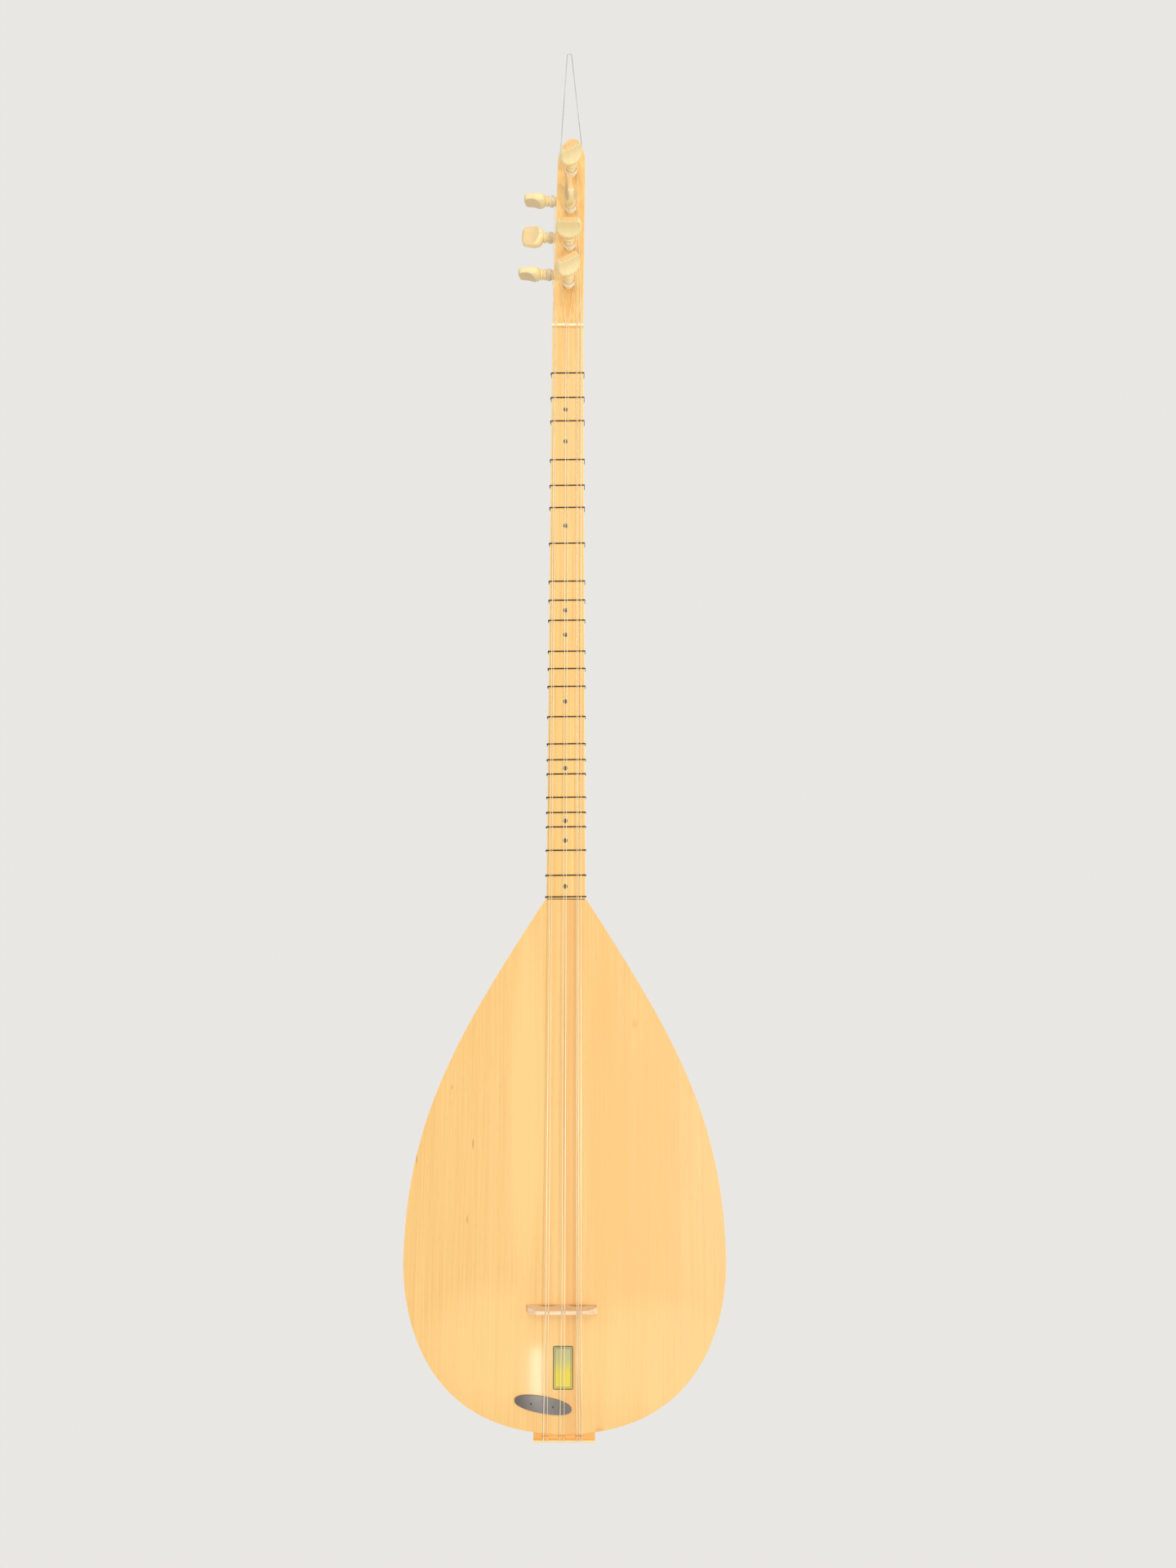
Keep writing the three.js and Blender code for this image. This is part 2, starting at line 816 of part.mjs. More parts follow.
function lengthShare(cents) {
  return 1 - 2 ** (-cents / octaveCents);
}

// The places follow from the last fret's.
function fretPlace(cents) {
  const lastShare = lengthShare(fretCents[fretCents.length - 1]);
  return (neckLength - lastFretAboveJoint) * lengthShare(cents) / lastShare;
}

function fretTurn(below) {
  const offset = seatGap + fretDiameter / 2;
  const corner = offset * Math.SQRT1_2;
  const halfWidth = neckHalfWidth(below);
  const back = backPoints(halfWidth + offset, neckDepth(below) + offset, neckBackFacets);
  return [
    ...back.slice(Math.ceil(neckBackFacets / 2)),
    new THREE.Vector2(-halfWidth - offset, 0),
    new THREE.Vector2(-halfWidth - corner, -corner),
    new THREE.Vector2(-halfWidth, -offset),
    new THREE.Vector2(halfWidth, -offset),
    new THREE.Vector2(halfWidth + corner, -corner),
    new THREE.Vector2(halfWidth + offset, 0),
    ...back.slice(0, Math.ceil(neckBackFacets / 2)),
  ];
}

function fretPoints(cents) {
  const below = fretPlace(cents);
  const turn = fretTurn(below);
  const rise = fretPitch / turn.length;
  const points = [];
  for (let step = 0; step < fretTurns * turn.length; step += 1) {
    const { x, y } = turn[step % turn.length];
    const z = -below - (fretPitch * fretTurns) / 2 + rise * step;
    points.push(new THREE.Vector3(x, y, z));
  }
  return points;
}

function makeFrets() {
  return fretCents.map((cents, number) => {
    const name = `fret_${String(number + 1).padStart(2, '0')}`;
    return piece(name, tube(fretPoints(cents), fretDiameter, fretSides), finish(fretColour));
  });
}

// Bridge: a low arch on three feet, thinner at the top, with a notch for each string.

function bridgeProfile() {
  const half = bridgeWidth / 2;
  const arch = 2 * bridgeArchHeight;
  const outer = half - bridgeOuterFoot;
  const inner = bridgeMiddleFoot / 2;
  const middle = (outer + inner) / 2;
  const shape = new THREE.Shape();
  shape.moveTo(-half, 0);
  shape.lineTo(-outer, 0);
  shape.quadraticCurveTo(-middle, arch, -inner, 0);
  shape.lineTo(inner, 0);
  shape.quadraticCurveTo(middle, arch, outer, 0);
  shape.lineTo(half, 0);
  shape.lineTo(half, bridgeEndHeight);
  shape.lineTo(bridgeTopWidth / 2, bridgeHeight);
  shape.lineTo(-bridgeTopWidth / 2, bridgeHeight);
  shape.lineTo(-half, bridgeEndHeight);
  return shape;
}

function bridgeWedge() {
  const foot = bridgeFootThickness / 2;
  const top = bridgeTopThickness / 2;
  const shape = new THREE.Shape([
    new THREE.Vector2(-foot, 0),
    new THREE.Vector2(foot, 0),
    new THREE.Vector2(top, bridgeHeight),
    new THREE.Vector2(-top, bridgeHeight),
  ]);
  const width = bridgeWidth + 2 * overrun;
  return new THREE.ExtrudeGeometry(shape, { depth: width, bevelEnabled: false })
    .translate(0, 0, -width / 2)
    .rotateY(90 * degree);
}

function makeBridge() {
  const curveSegments = 8;
  const thickness = bridgeFootThickness + 2 * overrun;
  const face = new THREE.ExtrudeGeometry(bridgeProfile(), {
    depth: thickness,
    bevelEnabled: false,
    curveSegments,
  }).translate(0, 0, -thickness / 2);
  let bridge = solid(face).intersect(solid(bridgeWedge()));
  stringDiameters.forEach((diameter, number) => {
    const x = stringBridgeShares[number] * bridgeWidth;
    const half = diameter / 2 + notchWidthGap;
    bridge = bridge.subtract(solid(block(
      new THREE.Vector3(x - half, bridgeHeight - bridgeNotchDepth, -bridgeFootThickness),
      new THREE.Vector3(x + half, bridgeHeight + overrun, bridgeFootThickness),
    )));
  });
  const standing = surface(bridge).rotateX(180 * degree)
    .translate(-bridgeLeft, 0, -bridgeDistance);
  return piece('bridge', standing, finish(bridgeColour));
}

// Tail piece: a strip fitted against the end of the body, with a raised lip at its foot.

function makeTailPiece() {
  const foot = tailZ - tailPieceDrop;
  const face = tailPieceFaceSink;
  const back = face + tailPieceThickness;
  const lip = -tailPieceLipRise;
  const top = tailZ + tailPieceTongue;
  const shape = new THREE.Shape([
    new THREE.Vector2(face, top),
    new THREE.Vector2(face, foot + tailPieceLipHeight),
    new THREE.Vector2(lip, foot + tailPieceLipHeight - tailPieceLipSlope),
    new THREE.Vector2(lip, foot + tailPieceLipSlope),
    new THREE.Vector2(lip + tailPieceLipSlope, foot),
    new THREE.Vector2(back, foot),
    new THREE.Vector2(back, top),
  ]);
  const strip = new THREE.ExtrudeGeometry(shape, { depth: tailPieceWidth, bevelEnabled: false })
    .translate(0, 0, -tailPieceWidth / 2)
    .applyMatrix4(new THREE.Matrix4().makeBasis(
      new THREE.Vector3(0, 1, 0),
      new THREE.Vector3(0, 0, 1),
      new THREE.Vector3(1, 0, 0),
    ));
  const reach = 2 * tailPieceThickness;
  const bodyEnd = solid(plate(bodyShape(), -reach, reach).translate(0, 0, -seatGap));
  let tailPiece = solid(strip).subtract(bodyEnd);
  stringDiameters.forEach((diameter, number) => {
    const x = stringTailShares[number] * tailPieceWidth;
    const z = tailZ - stringHoleBelowEdge;
    const half = diameter / 2 + notchWidthGap;
    tailPiece = tailPiece.subtract(solid(block(
      new THREE.Vector3(x - half, -reach, foot - overrun),
      new THREE.Vector3(x + half, reach, foot + tailGrooveDepth),
    )));
    tailPiece = tailPiece.subtract(solid(taper(
      new THREE.Vector3(x, -reach, z),
      new THREE.Vector3(x, reach, z),
      stringHoleDiameter,
      stringHoleDiameter,
      stringHoleSides,
    )));
  });
  return piece('tail_piece', surface(tailPiece), finish(holderColour));
}

function makeOvalPlate() {
  const points = [];
  for (let step = 0; step < ovalSteps; step += 1) {
    const angle = (2 * Math.PI * step) / ovalSteps;
    const [c, s] = [Math.cos(angle), Math.sin(angle)];
    points.push(new THREE.Vector2(
      (ovalLength / 2) * Math.sign(c) * Math.abs(c) ** (2 / ovalPower),
      (ovalWidth / 2) * Math.sign(s) * Math.abs(s) ** (2 / ovalPower),
    ));
  }
  const geometry = plate(new THREE.Shape(points), -ovalThickness, 0)
    .rotateY(-ovalTilt)
    .translate(-ovalLeft, 0, tailZ + ovalAboveTail);
  return piece('oval_plate', geometry, finish(ovalColour));
}

// Hanging wire: through the head, up on both sides and over the hanging point.

const wireHoleUp = headLength - wireHoleFromTip;
const wireHoleCentre = headPoint(0, -wireHoleBelowFace, wireHoleUp);
// The loop leans back over the middle of the neck, under which the weight hangs.
const wireSideLean = Math.asin(wireHoleCentre.x / wireRise);
const wireUp = new THREE.Vector3(
  -Math.sin(wireSideLean),
  -Math.sin(wireLean) * Math.cos(wireSideLean),
  Math.cos(wireLean) * Math.cos(wireSideLean),
);
const wireAcross = new THREE.Vector3(1, 0, 0).addScaledVector(wireUp, -wireUp.x).normalize();
const hangPoint = wireHoleCentre.clone().addScaledVector(wireUp, wireRise);

// How far the side of the head stands from its middle at the wire's hole.
function wireHoleReach() {
  const depth = headDepth(wireHoleUp);
  const share = (wireHoleBelowFace - neckSideHeight) / (depth - neckSideHeight);
  return headHalfWidth(wireHoleUp) * Math.sqrt(1 - share ** 2);
}

function wirePoints() {
  const reach = wireHoleReach() + wireBendRadius;
  const topRadius = wireTopRadius + wireDiameter / 2;
  const topRise = wireRise - wireTopRadius;
  const turned = Math.atan2(reach - topRadius, topRise - wireBendRadius);
  const half = [[wireEndGap / 2, 0]];
  for (let step = 0; step <= wireBendSteps; step += 1) {
    const angle = ((90 * degree + turned) * step) / wireBendSteps;
    half.push([
      reach - wireBendRadius + wireBendRadius * Math.sin(angle),
      wireBendRadius - wireBendRadius * Math.cos(angle),
    ]);
  }
  for (let step = 0; step <= wireBendSteps; step += 1) {
    const angle = turned + ((90 * degree - turned) * step) / wireBendSteps;
    half.push([topRadius * Math.cos(angle), topRise + topRadius * Math.sin(angle)]);
  }
  const place = ([x, up]) => wireHoleCentre.clone()
    .addScaledVector(wireUp, up)
    .addScaledVector(wireAcross, x);
  const left = half.map(([x, up]) => place([-x, up]));
  const right = half.slice(0, -1).reverse().map(place);
  return left.concat(right);
}

function makeWire() {
  return piece('hanging_wire', tube(wirePoints(), wireDiameter, wireSides), finish(steelColour, 1));
}

// Assembly, moved so that the hanging point is the origin.

const saz = new THREE.Group();
saz.position.copy(hangPoint).negate();
saz.add(
  makeSoundboard(),
  makeBowl(),
  makeNeck(),
  makeNeckBlock(),
  makeTailBlock(),
  makeHead(),
  makeNut(),
  makeBridge(),
  makeTailPiece(),
  makeOvalPlate(),
  makeWire(),
  ...makePegs(),
  ...makeStrings(),
  ...makeFrets(),
);

const windingGap = Math.min(...pegSeats.map((_, number) => (
  leastGap(windingPoints(number), windingWire(number), Math.floor(windingSteps / 2))
)));
const fretSteps = fretTurn(neckLength).length;
const fretGap = Math.min(...fretCents.map((cents) => (
  leastGap(fretPoints(cents), fretDiameter, Math.floor(fretSteps / 2))
)));
console.log(`least gap of a winding to itself ${windingGap.toFixed(3)} mm`);
console.log(`least gap of a fret to itself ${fretGap.toFixed(3)} mm`);

const group = new THREE.Group();
group.add(saz);

export default group;
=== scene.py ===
"""A long-neck saz hanging from its loop of wire: finishes, fine shapes, light and camera.

Metres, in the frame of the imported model: +Z up the neck, -Y out of the soundboard. Places on the
instrument are given as x, depth behind its face, and height above the nut.
"""
import json
from math import asin, copysign, cos, pi, radians, sin, sqrt, tan, tau

import bmesh
import bpy
from mathutils import Matrix, Vector


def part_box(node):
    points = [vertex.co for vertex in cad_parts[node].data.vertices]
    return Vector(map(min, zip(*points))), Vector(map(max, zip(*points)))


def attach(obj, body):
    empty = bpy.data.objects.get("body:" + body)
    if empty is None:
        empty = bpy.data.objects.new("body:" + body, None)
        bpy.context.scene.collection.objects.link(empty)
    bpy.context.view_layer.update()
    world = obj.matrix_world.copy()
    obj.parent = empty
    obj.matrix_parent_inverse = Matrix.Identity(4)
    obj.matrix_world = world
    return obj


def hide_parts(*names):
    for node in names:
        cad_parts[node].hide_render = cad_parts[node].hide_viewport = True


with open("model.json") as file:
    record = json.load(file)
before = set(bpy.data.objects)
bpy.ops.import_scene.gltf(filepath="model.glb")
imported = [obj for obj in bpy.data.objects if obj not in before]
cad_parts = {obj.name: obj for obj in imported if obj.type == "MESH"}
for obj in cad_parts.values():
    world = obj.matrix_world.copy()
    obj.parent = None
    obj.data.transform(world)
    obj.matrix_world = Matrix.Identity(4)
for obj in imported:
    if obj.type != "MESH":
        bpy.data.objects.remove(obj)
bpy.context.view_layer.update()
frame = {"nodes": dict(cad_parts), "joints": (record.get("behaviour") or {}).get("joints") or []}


# Sizes and places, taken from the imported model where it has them.

BOARD_LOW, BOARD_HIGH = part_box("soundboard")
BOWL_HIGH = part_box("bowl")[1]
NUT_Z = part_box("nut")[0].z
FACE_Y = BOARD_LOW.y
NECK_LENGTH = NUT_Z - BOARD_HIGH.z
BODY_LENGTH = BOARD_HIGH.z - BOARD_LOW.z
BODY_WIDTH = BOARD_HIGH.x - BOARD_LOW.x
BOARD_THICKNESS = BOARD_HIGH.y - BOARD_LOW.y
BOWL_DEPTH = BOWL_HIGH.y - FACE_Y
TAIL = -NECK_LENGTH - BODY_LENGTH

SEAT_GAP = 0.0003

NECK_TOP_WIDTH = 0.030
NECK_END_WIDTH = 0.035
NECK_TOP_DEPTH = 0.025
NECK_END_DEPTH = 0.029
NECK_SIDE_HEIGHT = 0.006
NECK_EDGE_RADIUS = 0.0009
TENON_WIDTH = 0.015
TENON_DEPTH = 0.014
TENON_LENGTH = 0.032
TENON_BELOW_FACE = 0.008

WIDEST_BELOW_JOINT = 0.304
SHOULDER_ANGLE = radians(32.7)
SHOULDER_PULL = 0.433
WAIST_PULL = 0.395
HIP_PULL = 0.236
TAIL_PULL = 0.916
BOARD_EDGE_RADIUS = 0.0007
BOWL_WALL = 0.003
BOWL_END_WALL = 0.004
RIM_BULGE = 0.15
STAVE_COUNT = 15
SOUND_HOLE_DIAMETER = 0.014
SOUND_HOLE_DEPTH = 0.038

HEAD_LEAN = radians(8)
HEAD_TILT = radians(0.8)
HEAD_LENGTH = 0.228
HEAD_TIP_WIDTH = 0.028
HEAD_BASE_DEPTH = 0.025
HEAD_TIP_DEPTH = 0.021
HEAD_ARCH_LENGTH = 0.031
HEAD_TIP_SHARE = 0.3
HEAD_ARCH_POWER = 2.05
HEAD_BACK_STEPS = 36
WIRE_HOLE_DIAMETER = 0.0024
WIRE_HOLE_FROM_TIP = 0.028
WIRE_HOLE_DEPTH = 0.016

PEG_SHAFT_DIAMETER = 0.009
PEG_TIP_DIAMETER = 0.0074
PEG_NECKS = {
    "front_1": 0.0154, "front_2": 0.0159, "front_3": 0.0163, "front_4": 0.0181,
    "side_1": 0.0116, "side_2": 0.0124, "side_3": 0.0143,
}
PEG_TURNS = {
    "front_1": 122, "front_2": 7, "front_3": 92, "front_4": 122,
    "side_1": 66, "side_2": 3, "side_3": 67,
}
FRONT_PEG_PROUD = 0.0025
SIDE_PEG_SHORT = 0.0015
PEG_BEAD_DIAMETER = 0.0108
PEG_BEAD_LENGTH = 0.0022
PEG_BEAD_SPACE = 0.0008
KNOB_LENGTH = 0.0215
KNOB_WIDTH = 0.024
KNOB_THICKNESS = 0.0116

STRING_DIAMETERS = [0.0006, 0.00045, 0.0005, 0.0005, 0.00045, 0.00045, 0.0006]
STRING_NUT_SHARES = [-0.413, -0.37, -0.057, 0.02, 0.273, 0.318, 0.423]
STRING_BRIDGE_SHARES = [-0.233, -0.193, -0.002, 0.038, 0.214, 0.241, 0.274]
STRING_TAIL_SHARES = [-0.337, -0.275, -0.071, -0.002, 0.202, 0.253, 0.292]
WINDING_TURNS = 6
WINDING_PITCH = 0.00066
WINDING_ABOVE_HEAD = 0.0032
NUT_RISE = 0.0022
NUT_THICKNESS = 0.0024
NUT_NOTCH_DEPTH = 0.0006

FRET_DIAMETER = 0.00055
FRET_PITCH = 0.00058
FRET_TURNS = 2
FRET_SLOPE = 0.01
FRET_SEAT = 0.0001

BRIDGE_HEIGHT = 0.011
BRIDGE_TOP_THICKNESS = 0.003
BRIDGE_NOTCH_DEPTH = 0.00125
BRIDGE_NOTCH_GAP = 0.0007

TAIL_PIECE_DROP = 0.0071
TAIL_PIECE_THICKNESS = 0.010
TAIL_PIECE_FACE_SINK = 0.001
TAIL_PIECE_LIP_RISE = 0.0012
TAIL_PIECE_LIP_SLOPE = 0.0008
TAIL_GROOVE_DEPTH = 0.0013
STRING_HOLE_DIAMETER = 0.0015
STRING_HOLE_BELOW_EDGE = 0.0025


def place(x, depth, height):
    """A point of the instrument: sideways, behind its face, and above the nut."""
    return Vector((x, FACE_Y + depth, NUT_Z + height))


def mix(low, high, share):
    return low + (high - low) * share


def circle(steps):
    """The cosine and sine of equal steps round a circle."""
    return [(cos(tau * step / steps), sin(tau * step / steps))
            for step in range(steps)]


def link(name, data):
    """A new object of the scene."""
    obj = bpy.data.objects.new(name, data)
    bpy.context.scene.collection.objects.link(obj)
    return obj


# Camera, as it stood for the photograph.

CAMERA_PLACE = (0.0196, -1.00517, -0.91495)
CAMERA_RISE = radians(8.43)
CAMERA_ROLL = radians(-0.02)
CAMERA_LENS = 24.96

camera = link("camera", bpy.data.cameras.new("camera"))
camera.data.lens = CAMERA_LENS
camera.data.clip_start = 0.02
camera.data.clip_end = 60
camera.location = CAMERA_PLACE
camera.rotation_euler = (radians(90) + CAMERA_RISE, CAMERA_ROLL, 0)
bpy.context.scene.camera = camera


# Making pieces.

def keep(obj, body, slot, material, *nodes):
    """Puts a finished piece on its body, with its finish, in place of CAD nodes."""
    obj.data.materials.clear()
    obj.data.materials.append(material)
    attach(obj, body)
    if nodes:
        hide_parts(*nodes)


def mesh_object(name, points, faces, sharp=35, pairs=None, **marks):
    """A mesh with smooth faces, creased where they meet at more than the sharp angle.

    Pairs and marks are values of the points that finishes read by name."""
    mesh = bpy.data.meshes.new(name)
    mesh.from_pydata([tuple(point) for point in points], [], faces)
    for layer, values in (pairs or {}).items():
        corners = mesh.uv_layers.new(name=layer).data
        for loop in mesh.loops:
            corners[loop.index].uv = values[loop.vertex_index]
    for mark, values in marks.items():
        mesh.attributes.new(mark, "FLOAT", "POINT").data.foreach_set("value", values)
    obj = link(name, mesh)
    tidy(obj, sharp)
    return obj


def tidy(obj, sharp=35):
    work = bmesh.new()
    work.from_mesh(obj.data)
    bmesh.ops.remove_doubles(work, verts=work.verts, dist=1e-7)
    bmesh.ops.dissolve_degenerate(work, edges=work.edges, dist=1e-7)
    bmesh.ops.recalc_face_normals(work, faces=work.faces)
    work.to_mesh(obj.data)
    work.free()
    obj.data.polygons.foreach_set("use_smooth", [True] * len(obj.data.polygons))
    obj.data.set_sharp_from_angle(angle=radians(sharp))


def loft(rings):
    """Points and faces of a closed skin over rings of equally many points."""
    count = len(rings[0])
    points = [point for ring in rings for point in ring]
    faces = []
    for ring in range(len(rings) - 1):
        for side in range(count):
            a, b = ring * count + side, ring * count + (side + 1) % count
            faces.append((a, b, b + count, a + count))
    last = (len(rings) - 1) * count
    faces.append(tuple(reversed(range(count))))
    faces.append(tuple(range(last, last + count)))
    return points, faces


def curve_object(name, runs, diameter, sides=3):
    """Round wires that follow the points of each run."""
    data = bpy.data.curves.new(name, "CURVE")
    data.dimensions = "3D"
    data.bevel_depth = diameter / 2
    data.bevel_resolution = sides
    data.use_fill_caps = True
    for points in runs:
        spline = data.splines.new("POLY")
        spline.points.add(len(points) - 1)
        for spot, point in zip(spline.points, points):
            spot.co = (*point, 1)
        spline.use_smooth = True
    return link(name, data)


def cut(obj, *cutters):
    """Takes closed meshes out of a piece, for good."""
    for cutter in cutters:
        modifier = obj.modifiers.new("cut", "BOOLEAN")
        modifier.operation = "DIFFERENCE"
        modifier.solver = "EXACT"
        modifier.object = cutter
    graph = bpy.context.evaluated_depsgraph_get()
    mesh = bpy.data.meshes.new_from_object(obj.evaluated_get(graph))
    obj.modifiers.clear()
    obj.data = mesh
    for cutter in cutters:
        bpy.data.objects.remove(cutter)
    tidy(obj)


def taper(start, end, start_diameter, end_diameter, sides=32):
    """A closed round bore between two points, to cut with."""
    axis = (end - start).normalized()
    across = axis.orthogonal().normalized()
    along = axis.cross(across)
    rings = [[centre + (across * c + along * s) * diameter / 2 for c, s in circle(sides)]
             for centre, diameter in ((start, start_diameter), (end, end_diameter))]
    return mesh_object("bore", *loft(rings))


# Finishes.

def colour(code):
    """A hex colour as the linear values that a shader takes."""
    parts = [int(code[at:at + 2], 16) / 255 for at in (0, 2, 4)]
    return (*[c / 12.92 if c <= 0.04045 else ((c + 0.055) / 1.055) ** 2.4 for c in parts], 1)


class Value:
    """An output in a node tree. Plus, minus, times and divided by add a node each."""

    def __init__(self, tree, socket):
        self.tree = tree
        self.socket = socket

    def __add__(self, other):
        return self.tree.math("ADD", self, other)

    def __sub__(self, other):
        return self.tree.math("SUBTRACT", self, other)

    def __rsub__(self, other):
        return self.tree.math("SUBTRACT", other, self)

    def __mul__(self, other):
        return self.tree.math("MULTIPLY", self, other)

    def __truediv__(self, other):
        return self.tree.math("DIVIDE", self, other)


class Nodes:
    """A node tree that is wired by short calls."""

    def __init__(self, tree):
        self.nodes = tree.nodes
        self.links = tree.links

    def put(self, socket, value):
        if isinstance(value, Value):
            self.links.new(value.socket, socket)
        else:
            socket.default_value = value

    def node(self, kind, settings=None, **sockets):
        node = self.nodes.new(kind)
        for key, value in (settings or {}).items():
            setattr(node, key, value)
        for key, value in sockets.items():
            self.put(node.inputs[key.replace("_", " ")], value)
        return node

    def value(self, output, kind, settings=None, **sockets):
        """One output of a new node."""
        return Value(self, self.node(kind, settings, **sockets).outputs[output])

    def math(self, operation, *values):
        node = self.node("ShaderNodeMath", {"operation": operation})
        for socket, value in zip(node.inputs, values):
            self.put(socket, value)
        return Value(self, node.outputs[0])

    def seen(self):
        """1 for rays from the camera, a glossy surface or glass, and 0 for light on the object."""
        path = self.node("ShaderNodeLightPath").outputs
        camera, glossy, through_glass = (Value(self, path[name]) for name in (
            "Is Camera Ray", "Is Glossy Ray", "Is Transmission Ray"))
        return self.math("MAXIMUM", self.math("MAXIMUM", camera, glossy), through_glass)

    def choose(self, share, below, above, output):
        """Shows one shader over another, by a share."""
        choice = self.node("ShaderNodeMixShader", Fac=share)
        self.links.new(below.outputs[0], choice.inputs[1])
        self.links.new(above.outputs[0], choice.inputs[2])
        self.links.new(choice.outputs[0], self.nodes[output].inputs["Surface"])


class Finish(Nodes):
    """A material and its nodes."""

    def __init__(self, name, roughness=0.5, metallic=0.0, coat=0.0, coat_roughness=0.1):
        self.material = bpy.data.materials.new(name)
        self.material.use_nodes = True
        super().__init__(self.material.node_tree)
        self.shader = self.nodes["Principled BSDF"]
        for socket, value in (("Roughness", roughness), ("Metallic", metallic),
                              ("Coat Weight", coat), ("Coat Roughness", coat_roughness)):
            self.shader.inputs[socket].default_value = value

    def place(self):
        """The point on the object, in metres."""
        return self.value("Object", "ShaderNodeTexCoord")

    def split(self, vector):
        outputs = self.node("ShaderNodeSeparateXYZ", Vector=vector).outputs
        return [Value(self, output) for output in outputs]

    def mark(self, name):
        """The value of a mark of the mesh."""
        return self.value("Fac", "ShaderNodeAttribute", {"attribute_name": name})

    def noise(self, point, scales, detail=2.0, roughness=0.5):
        """Noise with a scale for each axis, in cycles a metre."""
        stretch = self.node("ShaderNodeVectorMath", {"operation": "MULTIPLY"})
        self.put(stretch.inputs[0], point)
        self.put(stretch.inputs[1], scales)
        return self.value("Fac", "ShaderNodeTexNoise", Vector=Value(self, stretch.outputs[0]),
                          Scale=1.0, Detail=detail, Roughness=roughness)

    def ramp(self, value, *stops):
        """A colour by value: stops are (place, hex colour)."""
        node = self.node("ShaderNodeValToRGB", Fac=value)
        elements = node.color_ramp.elements
        while len(elements) < len(stops):
            elements.new(0.5)
        for element, (at, code) in zip(elements, stops):
            element.position = at
            element.color = colour(code)
        return Value(self, node.outputs["Color"])

    def between(self, value, low, high):
        """0 at low and 1 at high, with a soft step."""
        return self.value(0, "ShaderNodeMapRange", {"interpolation_type": "SMOOTHSTEP"},
                          Value=value, From_Min=low, From_Max=high)

    def band(self, value, low, high, soft):
        """1 between two values, 0 outside them, with soft edges."""
        rise = self.between(value, low - soft, low + soft)
        return rise - self.between(value, high - soft, high + soft)

    def blend(self, base, *layers):
        """Colours laid over the base: each is (share, hex colour or value)."""
        for share, above in layers:
            node = self.node("ShaderNodeMix", {"data_type": "RGBA"}, Factor=share)
            self.put(node.inputs[6], base)
            self.put(node.inputs[7], above if isinstance(above, Value) else colour(above))
            base = Value(self, node.outputs[2])
        return base

    def done(self, base, rough, low, high, height, strength, distance):
        """The material, with its colour, and with roughness and bump from two values."""
        self.put(self.shader.inputs["Base Color"], base)
        self.put(self.shader.inputs["Roughness"], self.value(
            0, "ShaderNodeMapRange", Value=rough, To_Min=low, To_Max=high))
        self.put(self.shader.inputs["Normal"], self.value(
            0, "ShaderNodeBump", Height=height, Strength=strength, Distance=distance))
        return self.material


def grain(finish, point, across, along):
    """Fine and broad streaks that run along one axis of the wood."""
    fine = finish.noise(point, (across, across, along), detail=3, roughness=0.6)
    broad = finish.noise(point, (across / 9, across / 9, along / 4))
    return fine, broad


def plain_wood(name, light, middle, dark, across, along=18, roughness=0.42, coat=0.25,
               axis="Z", lip=None, edge=None):
    finish = Finish(name, roughness, coat=coat, coat_roughness=0.25)
    point = finish.place()
    if axis == "X":
        point = finish.value(0, "ShaderNodeVectorRotate", {"rotation_type": "Y_AXIS"},
                             Vector=point, Angle=radians(90))
    fine, broad = grain(finish, point, across, along)
    base = finish.ramp(fine * 0.55 + broad * 0.45, (0.34, dark), (0.5, middle), (0.66, light))
    # A painted highlight below the given height, on the lip of the tail piece.
    if lip:
        top, lip_highlight = lip
        share = finish.between(finish.split(finish.place())[2], top + 0.0002, top - 0.0002)
        base = finish.blend(base, (share, lip_highlight))
    # A painted highlight on the rounded edges of the face, where the mesh marks them.
    if edge:
        base = finish.blend(base, (finish.mark("edge") * 0.8, edge))
    return finish.done(base, fine, roughness - 0.06, roughness + 0.08, fine, 0.12, 0.0002)


# The bare label, from the middle and above the nut.
LABEL_CENTRE = (-0.0011, -0.93605)
LABEL_WIDTH = 0.0168
LABEL_LENGTH = 0.0342
LABEL_CORNER = 0.0012
LABEL_RISE = 0.00012

OVAL_LEFT_END = -0.0417
OVAL_LENGTH = 0.0482

STRIPE_LEFT = 0.0006
STRIPE_RIGHT = 0.0097
TIGHT_GRAIN_LEFT = 0.075
TIGHT_GRAIN_RIGHT = 0.112
# Soft ovals of paler and deeper tone on the soundboard, from the middle and above the nut: x, z,
# half width, half length, share and tone. Patches lie under the stripe, and marks lie over it.
PATCHES = [
    (-0.034, -0.720, 0.018, 0.200, 0.5, "FBD487"), (0.036, -0.740, 0.024, 0.200, 0.6, "F2BC6A"),
    (0.068, -0.790, 0.040, 0.150, 0.6, "F1BC6A"), (0.070, -0.930, 0.080, 0.060, 0.4, "FBD488"),
    (-0.060, -0.920, 0.070, 0.060, 0.4, "FCD48A"),
]
MARKS = [
    (-0.0010, -0.7200, 0.0007, 0.1700, 0.55, "B9733A"),
    (-0.0790, -0.7560, 0.0007, 0.0055, 0.7, "B07438"),
    (-0.1270, -0.7690, 0.0006, 0.0050, 0.7, "B07438"),
    (-0.0830, -0.8180, 0.0005, 0.0045, 0.7, "B07438"),
    (-0.0980, -0.7090, 0.0005, 0.0030, 0.7, "B07438"),
    (0.0605, -0.6550, 0.0035, 0.0050, 0.35, "E0A061"),
    (0.0290, -0.9845, 0.0050, 0.0030, 0.5, "E79A4E"),
]


